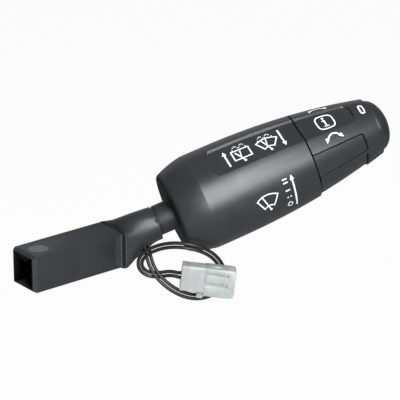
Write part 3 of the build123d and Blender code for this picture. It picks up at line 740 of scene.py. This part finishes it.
def spring(name, radius, gauge, turns, rise, start):
    """A coil of round wire about the barrel's axis. Its radius, gauge, rise and start are in millimetres."""
    growth = Growth(name + "_growth")
    growth.open(Turns="Float", Radius="Float", Rise="Float", Gauge="Float", Material="Material")
    path = growth.add("GeometryNodeCurveSpiral", {
        "Resolution": 48, "Rotations": growth.given("Turns"), "Start Radius": growth.given("Radius"),
        "End Radius": growth.given("Radius"), "Height": growth.given("Rise")})
    section = growth.add("GeometryNodeCurvePrimitiveCircle", {
        "Resolution": 14, "Radius": growth.given("Gauge")})
    wire = growth.add("GeometryNodeCurveToMesh", {
        "Curve": path, "Profile Curve": section, "Fill Caps": True})
    place = BARREL.copy()
    place.translation = (CROSSING + ALONG * start) * MM
    return growth.grow(name, wire, place, Turns=float(turns), Radius=radius * MM, Rise=rise * MM,
                       Gauge=gauge / 2 * MM, Material=FINISHES["spring_steel"])


# ---------------------------------------------------------------- printed marks
def on_surface(along, angle):
    """A point just above the carved surface."""
    reach = carved_radius(along, angle) + INK_LIFT
    turn = math.radians(angle)
    return barrel_spot(reach * math.sin(turn), reach * math.cos(turn), along)


def degree_at(along):
    """Millimetres to the degree on the surface at a place along the axis."""
    return math.radians(1.0) * outer_radius(along)


def patch(work, corners, pieces):
    """A filled four-sided patch, divided finely enough to follow the surface. Corners are (along, angle)."""
    grid = []
    for row in range(pieces[1] + 1):
        up = row / pieces[1]
        line = []
        for column in range(pieces[0] + 1):
            right = column / pieces[0]
            spot = [
                (corners[0][axis] * (1 - right) + corners[1][axis] * right) * (1 - up)
                + (corners[3][axis] * (1 - right) + corners[2][axis] * right) * up for axis in (0, 1)]
            line.append(work.verts.new(on_surface(*spot)))
        grid.append(line)
    for low, high in zip(grid, grid[1:]):
        for column in range(pieces[0]):
            work.faces.new((low[column], low[column + 1], high[column + 1], high[column]))


def stroke(work, points, width, closed=False):
    """A printed line through points given as (along, angle)."""
    scale = degree_at(points[0][0])
    flat = [Vector((along, angle * scale)) for along, angle in points]
    if closed:
        flat = flat + flat[:1]
    dense = [flat[0]]
    for start, end in zip(flat, flat[1:]):
        count = max(1, int((end - start).length / STROKE_STEP))
        dense += [start.lerp(end, step / count) for step in range(1, count + 1)]
    if closed:
        dense.pop()
    count = len(dense)
    rails = []
    for index, spot in enumerate(dense):
        before = dense[index - 1] if closed or index else spot
        after = dense[(index + 1) % count] if closed or index < count - 1 else spot
        ahead = (after - spot).normalized() if after != spot else (spot - before).normalized()
        behind = (spot - before).normalized() if before != spot else ahead
        middle = (ahead + behind).normalized()
        side = Vector((-middle.y, middle.x)) * (width / 2) / max(SHARPEST_CORNER, middle.dot(ahead))
        if not closed and index in (0, count - 1):
            spot = spot + (middle * width * STROKE_END if index else -middle * width * STROKE_END)
        edges = (spot - side, spot + side)
        rails.append([work.verts.new(on_surface(edge.x, edge.y / scale)) for edge in edges])
    loop = zip(rails, rails[1:] + rails[:1]) if closed else zip(rails, rails[1:])
    for (low, high), (next_low, next_high) in loop:
        work.faces.new((low, next_low, next_high, high))


def arrow_head(work, tip, direction, length, width):
    """A filled arrow head; the direction is an angle in degrees from along the axis towards the top."""
    scale = degree_at(tip[0])
    ahead = Vector((math.cos(math.radians(direction)), math.sin(math.radians(direction))))
    side = Vector((-ahead.y, ahead.x))
    point = Vector((tip[0], tip[1] * scale))
    back = point - ahead * length
    corners = [back - side * width / 2, back + side * width / 2, point + side * 0.06, point - side * 0.06]
    patch(work, [(corner.x, corner.y / scale) for corner in corners], (3, 3))


def dot(work, spot, radius, count=14):
    """A small filled round mark."""
    scale = degree_at(spot[0])
    centre = work.verts.new(on_surface(*spot))
    rim = []
    for step in range(count):
        turn = 2 * math.pi * step / count
        rim.append(work.verts.new(on_surface(
            spot[0] + radius * math.cos(turn), spot[1] + radius * math.sin(turn) / scale)))
    for start, end in zip(rim, rim[1:] + rim[:1]):
        work.faces.new((centre, start, end))


def bent(start, middle, end, count=10):
    """Points of a smooth bow through three places."""
    points = []
    for step in range(count + 1):
        share = step / count
        points.append(tuple(
            start[axis] * (1 - share) * (1 - 2 * share) + middle[axis] * 4 * share * (1 - share)
            + end[axis] * share * (2 * share - 1) for axis in (0, 1)))
    return points


def outward(spot):
    """Direction from the barrel's axis to a spot, in metres."""
    out = spot - BARREL.translation * MM
    return (out - ALONG * out.dot(ALONG)).normalized()


def print_mark(name, body, width, draw, *places):
    """A mark's ink: the drawing's faces made into a closed film as thick as printed ink."""
    work = bmesh.new()
    draw(work, width, *places)
    bmesh.ops.remove_doubles(work, verts=work.verts, dist=1e-6)
    for face in work.faces:
        face.normal_update()
        if face.normal.dot(outward(face.calc_center_median())) < 0.0:
            face.normal_flip()
    film = bmesh.ops.extrude_face_region(work, geom=work.faces[:], use_keep_orig=True)
    for made in film["geom"]:
        if isinstance(made, bmesh.types.BMVert):
            made.co += outward(made.co) * INK_FILM * MM
    bmesh.ops.recalc_face_normals(work, faces=work.faces)
    mesh = bpy.data.meshes.new(name)
    work.to_mesh(mesh)
    work.free()
    return dress(new_object(name, mesh), body, "stalk_plastic", ink=True)


def ring_points(centre, half_length, half_angle, power=2.0, count=28):
    """Points of a rounded closed figure about a centre given as (along, angle)."""
    points = []
    for step in range(count):
        turn = 2 * math.pi * step / count
        across = math.cos(turn)
        up = math.sin(turn)
        points.append((centre[0] + half_length * math.copysign(abs(across) ** (2 / power), across),
                       centre[1] + half_angle * math.copysign(abs(up) ** (2 / power), up)))
    return points


def straight_arrow(work, width, start, tip):
    """A lever arrow from a start to a tip, both on one lengthwise place."""
    up = 1 if tip[1] > start[1] else -1
    head = 2.1
    neck = (tip[0], tip[1] - up * 0.8 * head / degree_at(tip[0]))
    stroke(work, [start, neck], width * ARROW_WEIGHT)
    arrow_head(work, tip, 90 * up, head, 2.0)


def spray(work, left, right):
    """The dotted fan of a washer mark: two bows of drops."""
    for bow in (left, right):
        for spot in bent(*bow, count=4):
            dot(work, spot, 0.27)


def rear_wiper_mark(work, width):
    """Rear wiper and washer: a window, its wiper and the fan of drops."""
    corners = [(68.8, 55.4), (76.2, 55.4), (76.2, 71.0), (68.8, 71.0)]
    stroke(work, corners, width, closed=True)
    stroke(work, [(72.6, 50.6), (71.8, 57.6), (70.2, 67.4)], width)
    stroke(work, [(71.9, 58.4), (72.4, 68.6)], width * 0.8)
    dot(work, (72.6, 50.6), 0.55)
    spray(work, ((69.7, 73.6), (71.0, 78.6), (72.2, 74.8)), ((72.9, 74.8), (74.2, 79.0), (75.4, 73.6)))


def screen_wiper_mark(work, width, middle, washer):
    """Front screen and wiper about a middle, with the washer's fan where asked."""
    def at(right, up):
        return middle[0] + right, middle[1] + up

    top = bent(at(-4.5, 6.2), at(-0.1, 10.4), at(4.6, 6.0))
    bottom = bent(at(2.1, -6.8), at(-0.1, -4.6), at(-2.2, -7.2), count=6)
    stroke(work, top + bottom, width, closed=True)
    stroke(work, [at(0.3, -11.4), at(-1.9, 8.2)], width)
    dot(work, at(0.3, -11.4), 0.55)
    if washer:
        stroke(work, [at(-0.5, -2.6), at(0.0, 8.8)], width * 0.8)
        left = (at(-3.2, 10.2), at(-1.9, 16.4), at(-0.7, 12.6))
        right = (at(0.1, 12.6), at(1.3, 16.6), at(2.9, 10.8))
        spray(work, left, right)


def speed_marks(work, width):
    """The wiper's steps: 0, interval, I and II."""
    for angle in (9.4, 4.7, -5.7):
        stroke(work, [(82.5, angle), (84.3, angle)], width * 1.15)
    for along in (82.5, 83.9):
        stroke(work, [(along, -15.5), (along + 0.35, -15.6)], width * 1.1)
    stroke(work, ring_points((83.1, -27.7), 0.95, 3.3), width * 0.85, closed=True)


def information_mark(work, width):
    """A letter i in a rounded frame."""
    stroke(work, ring_points((109.5, 64.0), 3.65, 14.0, 3.6, 40), width, closed=True)
    dot(work, (109.2, 72.6), 0.55)
    stroke(work, [(108.5, 67.4), (109.4, 67.4), (109.4, 55.4)], width * 1.25)
    stroke(work, [(108.4, 55.2), (110.4, 55.2)], width)


def turning_bow(work, width, angle, rise):
    """A bow with an arrow head at each end, for twisting the knob."""
    bow = bent((106.5, angle + 3.2), (109.6, angle + rise), (112.5, angle + 3.6), 12)
    stroke(work, bow, width * 1.2)
    arrow_head(work, (105.9, angle - 0.6), -112, 2.0, 1.9)
    arrow_head(work, (113.6, angle - 0.2), -52, 2.0, 1.7)


def nought_mark(work, width):
    """A tall rounded 0."""
    stroke(work, ring_points((125.7, 64.4), 0.85, 9.6, 3.2, 32), width * 1.15, closed=True)


# Name and body of each mark, the function that draws it, and its places as (along, angle)
MARKS = (
    ("mark_push_up", "lever", straight_arrow, (65.9, 50.4), (65.9, 76.4)),
    ("mark_rear_wiper", "lever", rear_wiper_mark),
    ("mark_screen_washer", "lever", screen_wiper_mark, (84.0, 62.0), True),
    ("mark_pull_down", "lever", straight_arrow, (90.2, 78.6), (90.3, 48.6)),
    ("mark_screen_wiper", "lever", screen_wiper_mark, (74.4, -9.4), False),
    ("mark_speeds", "lever", speed_marks),
    ("mark_speed_arrow", "lever", straight_arrow, (86.0, -35.0), (86.5, 11.6)),
    ("mark_information", "knob", information_mark),
    ("mark_turn_front", "knob", turning_bow, 28.6, 10.6),
    ("mark_turn_top", "knob", turning_bow, 90.4, 8.2),
    ("mark_nought", "knob", nought_mark),
)


# ---------------------------------------------------------------- the lead
def wire_points(side):
    """One wire's route in metres: beside the pair's centre line, and spread to its way in the plug."""
    spots = [Vector(spot) for spot in WIRE_ROUTE]
    last = len(spots) - 1
    points = []
    for index, spot in enumerate(spots):
        along = spots[min(index + 1, last)] - spots[max(index - 1, 0)]
        twist = min(1.0, max(0.0, (index - STRAIGHT_POINTS) / TWIST_POINTS))
        facing = LOOP_FACING * twist + UPPER * (1 - twist)
        if index >= last - 1:
            facing = PLUG_FRONT
        apart = WAY_PITCH if index == last else WIRE_PITCH
        points.append((spot + along.cross(facing).normalized() * (side * apart / 2)) * MM)
    return points


# ---------------------------------------------------------------- operators
class StepOperator:
    """What the operators share."""

    bl_options = {"REGISTER", "UNDO"}


class STALK_OT_camera(StepOperator, bpy.types.Operator):
    """Adds the camera"""

    bl_idname = "stalk.camera"
    bl_label = "Camera"

    def execute(self, context):
        lens = bpy.data.cameras.new("camera")
        lens.lens = 199.9
        lens.sensor_width = 36.0
        lens.clip_start, lens.clip_end = 0.05, 20.0
        camera = bpy.data.objects.new("camera", lens)
        right = Vector((0.7792009, -0.6267653, 0.0033553))
        up = Vector((0.2258455, 0.2857590, 0.9313086))
        back = Vector((-0.5846707, -0.7249187, 0.3642158))
        stand = Matrix((right, up, back)).transposed().to_4x4()
        stand.translation = Vector((-0.451892, -0.671446, 0.345547))
        camera.matrix_world = stand
        context.scene.collection.objects.link(camera)
        context.scene.camera = camera
        return {"FINISHED"}


class STALK_OT_plug(StepOperator, bpy.types.Operator):
    """Adds the lead's plug"""

    bl_idname = "stalk.plug"
    bl_label = "Plug"

    def execute(self, context):
        for node, edge in (("connector_hood", 0.22), ("connector_housing", 0.2)):
            half = finished_copy(node, "plug_" + node.split("_")[1], edge=edge, angle=32.0)
            dress(half, "lever", "natural_nylon", node)
        return {"FINISHED"}


class STALK_OT_lead(StepOperator, bpy.types.Operator):
    """Adds the two wires of the lead"""

    bl_idname = "stalk.lead"
    bl_label = "Lead"

    def execute(self, context):
        for side, node in ((-1, "wire_1"), (1, "wire_2")):
            points = wire_points(side)
            curve = bpy.data.curves.new("lead_" + node, "CURVE")
            curve.dimensions = "3D"
            curve.resolution_u = 10
            curve.bevel_depth = WIRE_DIAMETER / 2 * MM
            curve.bevel_resolution = 6
            curve.use_fill_caps = True
            spline = curve.splines.new("NURBS")
            spline.points.add(len(points) - 1)
            for control, spot in zip(spline.points, points):
                control.co = (*spot, 1.0)
            spline.order_u = 3
            spline.use_endpoint_u = True
            wire = new_object("lead_" + node, curve)
            dress(wire, "lever", "wire_insulation", node)
        return {"FINISHED"}


class STALK_OT_barrel(StepOperator, bpy.types.Operator):
    """Adds the tapered barrel with its marked panel"""

    bl_idname = "stalk.barrel"
    bl_label = "Barrel"

    def execute(self, context):
        crease = [CHAMFER_END - 0.08, CHAMFER_END, CHAMFER_END + 0.08]
        skin = [(None, at) for at in merged(BARREL_LINES, crease)]
        front = outer_radius(FRONT_AT)
        inner = front - FRONT_WALL
        lip = [(None, FRONT_AT - 0.18), (front - 0.34, FRONT_AT), (inner, FRONT_AT), (inner, BULKHEAD_TO)]
        bulkhead = [(BULKHEAD_HOLE, BULKHEAD_TO), (BULKHEAD_HOLE, BULKHEAD_FROM)]
        inside = [(outer_radius(at) - SHELL_WALL, at) for at in (BULKHEAD_FROM, 84.0, 74.0, 64.0, 57.0, 52.0)]
        recess = BACK_RADIUS - 1.2
        rear = [(REAR_LIP_RADIUS, REAR_LIP_TO), (REAR_LIP_RADIUS, REAR_LIP_FROM), (recess, REAR_LIP_FROM),
                (recess, BACK_AT + 0.2), (recess + 0.2, BACK_AT)]
        edge = [(BACK_RADIUS - 0.2, BACK_AT), (BACK_RADIUS + 0.1, BACK_AT + 0.42)]
        outline = skin + lip + bulkhead + inside + rear + edge
        skin = shell("barrel_skin", outline, merged(BARREL_ANGLES))
        matt_shaded_back(dress(skin, "lever", "stalk_plastic", "barrel_shell"))
        return {"FINISHED"}


class STALK_OT_knob(StepOperator, bpy.types.Operator):
    """Adds the twist knob with its finger flats"""

    bl_idname = "stalk.knob"
    bl_label = "Knob"

    def execute(self, context):
        skin = [(None, at) for at in merged(KNOB_LINES)]
        bore = KNOB_END_RADIUS - KNOB_END_WALL
        front = [(None, 128.8), (KNOB_END_RADIUS - 0.3, KNOB_END), (bore + 0.12, KNOB_END),
                 (bore, KNOB_END - 0.15), (bore, BORE_START)]
        inner_front = [(outer_radius(at) - KNOB_WALL, at) for at in (BORE_START, 118.0, WEB_TO)]
        hub = [(HUB_RADIUS, WEB_TO), (HUB_RADIUS, HUB_TO), (HUB_BORE, HUB_TO),
               (HUB_BORE, HUB_FROM), (HUB_RADIUS, HUB_FROM), (HUB_RADIUS, WEB_FROM)]
        inner_rear = [(outer_radius(at) - KNOB_WALL, at) for at in (WEB_FROM, 105.0, KNOB_START)]
        rear = outer_radius(KNOB_START) - KNOB_REAR_WALL
        edge = [(rear, KNOB_START), (rear + 0.4, KNOB_START), (None, KNOB_START + 0.12)]
        outline = skin + front + inner_front + hub + inner_rear + edge
        skin = shell("knob_skin", outline, merged(BARREL_ANGLES, finger_angles()))
        dress(skin, "knob", "stalk_plastic", "rotary_knob")
        # Painted shade: the faces in the grooves get darker, rougher plastic
        skin.data.materials.append(FINISHES["groove_plastic"])
        for face in skin.data.polygons:
            if in_shaded_groove(face.center):
                face.material_index = 1
        return {"FINISHED"}


class STALK_OT_button(StepOperator, bpy.types.Operator):
    """Adds the domed end push button"""

    bl_idname = "stalk.button"
    bl_label = "End button"

    def execute(self, context):
        outer = KNOB_END_RADIUS - KNOB_END_WALL - BUTTON_GAP
        base = KNOB_END + BUTTON_BASE_GAP
        ceiling = base + DOME_HEIGHT - DOME_WALL

        def dome(radius, rise, count):
            """Points of the dome's outline from its base to near its top."""
            turns = [math.pi / 2 * step / count for step in range(count)]
            return [(radius * math.cos(turn), base + rise * math.sin(turn)) for turn in turns]

        skirt = [(outer - DOME_WALL, SKIRT_FROM), (outer - 0.15, SKIRT_FROM), (outer, SKIRT_FROM + 0.15)]
        outside = skirt + dome(outer, DOME_HEIGHT, 20) + [(0.0, base + DOME_HEIGHT)]
        boss = [(0.0, ceiling - 0.9), (BOSS_BORE, ceiling - 0.9), (BOSS_BORE, BOSS_FROM),
                (BOSS_RADIUS, BOSS_FROM), (BOSS_RADIUS, ceiling - 0.6)]
        inside = dome(outer - DOME_WALL, DOME_HEIGHT - DOME_WALL, 14)[::-1]
        outline = boss + [spot for spot in inside if spot[0] > BOSS_RADIUS + 0.1] + outside
        dress(lathe("end_button_cap", outline), "button", "stalk_plastic", "end_button")
        return {"FINISHED"}


class STALK_OT_arm(StepOperator, bpy.types.Operator):
    """Adds the socket arm and the rear cover"""

    bl_idname = "stalk.arm"
    bl_label = "Arm and rear cover"

    def execute(self, context):
        arm = finished_copy("socket_arm", "arm_moulding", edge=0.22, angle=34.0)
        self.reshape(arm.data)
        dress(arm, "lever", "stalk_plastic", "socket_arm")
        # Painted highlight on the end rib and painted sheen on the ejector spot's wear, in a lighter plastic
        arm.data.materials.append(FINISHES["worn_plastic"])
        for face in arm.data.polygons:
            if self.worn_and_highlit(face.center / MM, face.normal):
                face.material_index = 1
        cover = finished_copy("rear_cover", "cover_moulding", edge=0.15, angle=40.0)
        # The rear cover gets the rougher satin plastic, darker as painted shade, and its back faces the matt
        # one
        matt_shaded_back(dress(cover, "lever", "stalk_plastic", "rear_cover"), "satin_plastic")
        return {"FINISHED"}

    def worn_and_highlit(self, middle, facing):
        """Whether a face of the arm lies on the ejector spot or the end rib, which are painted lighter: a
        painted highlight on the rib, and wear with a painted sheen on the spot.
        """
        near_spot = math.hypot(middle.x - SPOT_AT, middle.y) < SPOT_RADIUS
        on_spot = facing.z > 0.9 and near_spot and SPOT_FLOOR < middle.z < SPOT_LEVEL
        on_front = facing.y < -0.4 and middle.y < RIB_FRONT
        return on_spot or on_front and RIB_FROM < middle.x < RIB_TO and middle.z < RIB_TOP

    def reshape(self, mesh):
        """Lengthens the mouth's chamfer along the arm and fills out the neck's underside."""
        for vertex in mesh.vertices:
            spot = vertex.co / MM
            if CHAMFER_FROM < spot.x < CHAMFER_TO:
                vertex.co.x *= CHAMFER_STRETCH
            if spot.x > NECK_FILL[0][0]:
                fill = np.interp(spot.x, *zip(*NECK_FILL))
                underside = np.interp(spot.x, *zip(*NECK_UNDERSIDE))
                vertex.co.z -= fill * ease((underside + NECK_REACH - spot.z) / NECK_REACH) * MM
        mesh.update()


class STALK_OT_marks(StepOperator, bpy.types.Operator):
    """Adds the printed marks"""

    bl_idname = "stalk.marks"
    bl_label = "Printed marks"

    def execute(self, context):
        width = context.scene.stalk_settings.stroke / MM
        for name, body, draw, *places in MARKS:
            print_mark(name, body, width, draw, *places)
        return {"FINISHED"}


class STALK_OT_springs(StepOperator, bpy.types.Operator):
    """Adds the button's spring and the knob's centring spring"""

    bl_idname = "stalk.springs"
    bl_label = "Springs"

    def execute(self, context):
        button_spring = spring("button_coil", **BUTTON_COIL)
        dress(button_spring, "lever", "spring_steel", "button_spring")
        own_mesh(button_spring)
        centring_spring = spring("centring_coil", **CENTRING_COIL)
        dress(centring_spring, "lever", "spring_steel", "centring_spring")
        return {"FINISHED"}


class STALK_OT_inner_parts(StepOperator, bpy.types.Operator):
    """Gives each carried-over inner part its finish"""

    bl_idname = "stalk.inner_parts"
    bl_label = "Inner parts"

    def execute(self, context):
        slots = {part["node"]: part["material_slot"] for part in frame["record"]["subparts"]}
        for node, made in frame["nodes"].items():
            if made.hide_render:
                continue
            made.data.materials.clear()
            made.data.materials.append(FINISHES[slots[node]])
        return {"FINISHED"}


class STALK_OT_studio(StepOperator, bpy.types.Operator):
    """Adds the floor, the backdrop and the lights"""

    bl_idname = "stalk.studio"
    bl_label = "Studio"

    def execute(self, context):
        studio = context.scene.studio_settings
        low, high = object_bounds()
        middle = (low + high) / 2
        self.floor(low.z - studio.floor_drop)
        self.world(context, studio.fill_strength)
        self.lamp("key_light", middle, studio.key_power, offset=(-0.335, -0.80, 0.47), size=(0.26, 0.92))
        top = self.lamp("top_light", middle, studio.top_power, offset=(0.05, 0.1, 0.7), size=(0.5, 0.5))
        top.visible_glossy = False
        knob = self.lamp(
            "knob_light", middle, studio.knob_power, offset=(-0.03, -0.92, 0.37), size=(0.22, 0.3))
        knob.visible_diffuse = False
        return {"FINISHED"}

    def floor(self, level):
        """A pale floor, white to the camera but for the part's shadow."""
        mesh = bpy.data.meshes.new("floor")
        corners = ((-1, -1), (1, -1), (1, 1), (-1, 1))
        mesh.from_pydata([(x * FLOOR_REACH, y * FLOOR_REACH, level) for x, y in corners], [], [(0, 1, 2, 3)])
        look = Finish("floor_finish")
        look.fix(Base_Color=(0.32, 0.32, 0.32), Roughness=0.7)
        white = look.add("ShaderNodeEmission", {}, {"Color": WHITE, "Strength": FLOOR_WHITE}, "Emission")
        seen = look.add("ShaderNodeLightPath", output="Is Camera Ray")
        look.cover("Material Output", look.surface, white, seen * FLOOR_SHARE)
        mesh.materials.append(look.material)
        new_object("floor", mesh)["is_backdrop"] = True

    def world(self, context, strength):
        """Surrounding light, darker overhead and past both ends of the barrel, and white to the camera."""
        world = bpy.data.worlds.new("studio")
        context.scene.world = world
        look = Shader(world)
        way = look.add("ShaderNodeTexCoord", output="Generated")
        upward = look.add("ShaderNodeSeparateXYZ", {}, {0: way}, "Z")
        height = look.add("ShaderNodeMapRange", {}, {
            "Value": upward, "From Min": 0.3, "From Max": 0.9, "To Min": strength, "To Max": 0.1 * strength})
        along = look.add("ShaderNodeVectorMath", {"operation": "DOT_PRODUCT"}, {0: way, 1: ALONG}, "Value")
        side = look.ramp(along * 0.5 + 0.5, (0.2, 0.3), (0.55, 1.0), (0.72, 1.0), (0.9, 0.25))
        soft = look.tree.nodes["Background"]
        look.link(soft.inputs["Color"], WHITE)
        look.link(soft.inputs["Strength"], height * side)
        white = look.add("ShaderNodeBackground", {}, {"Color": WHITE, "Strength": 1.0})
        seen = look.add("ShaderNodeLightPath", output="Is Camera Ray")
        look.cover("World Output", soft, white, seen)

    def lamp(self, name, target, power, offset, size):
        """A rectangular soft light at an offset from its target, aimed at it."""
        place = target + Vector(offset)
        light = bpy.data.lights.new(name, "AREA")
        light.shape = "RECTANGLE"
        light.size, light.size_y = size
        light.energy = power
        lamp = bpy.data.objects.new(name, light)
        aim = (target - place).to_track_quat("-Z", "Y")
        lamp.matrix_world = Matrix.Translation(place) @ aim.to_matrix().to_4x4()
        bpy.context.scene.collection.objects.link(lamp)
        return lamp


STEPS = (
    STALK_OT_camera, STALK_OT_plug, STALK_OT_lead, STALK_OT_barrel, STALK_OT_knob, STALK_OT_button,
    STALK_OT_arm, STALK_OT_marks, STALK_OT_springs, STALK_OT_inner_parts, STALK_OT_studio,
)


class STALK_PT_panel(bpy.types.Panel):
    """The settings and steps in the sidebar"""

    bl_idname = "STALK_PT_panel"
    bl_label = "Stalk switch"
    bl_space_type = "VIEW_3D"
    bl_region_type = "UI"
    bl_category = "Stalk Switch"

    def draw(self, context):
        for settings in (context.scene.stalk_settings, context.scene.studio_settings):
            box = self.layout.box()
            for name in settings.bl_rna.properties.keys():
                if name not in ("rna_type", "name"):
                    box.prop(settings, name)
        for step in STEPS:
            self.layout.operator(step.bl_idname)


CLASSES = (StalkSettings, StudioSettings, *STEPS, STALK_PT_panel)


def register():
    """Registers the classes and the settings."""
    for made in CLASSES:
        bpy.utils.register_class(made)
    bpy.types.Scene.stalk_settings = bpy.props.PointerProperty(type=StalkSettings)
    bpy.types.Scene.studio_settings = bpy.props.PointerProperty(type=StudioSettings)


def unregister():
    """Removes the settings and the classes."""
    del bpy.types.Scene.studio_settings
    del bpy.types.Scene.stalk_settings
    for made in reversed(CLASSES):
        bpy.utils.unregister_class(made)


def main():
    """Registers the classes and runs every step."""
    register()
    bpy.context.scene.view_settings.view_transform = "Standard"
    make_finishes()
    for step in STEPS:
        group, name = step.bl_idname.split(".")
        getattr(getattr(bpy.ops, group), name)()


if __name__ == "__main__":
    main()
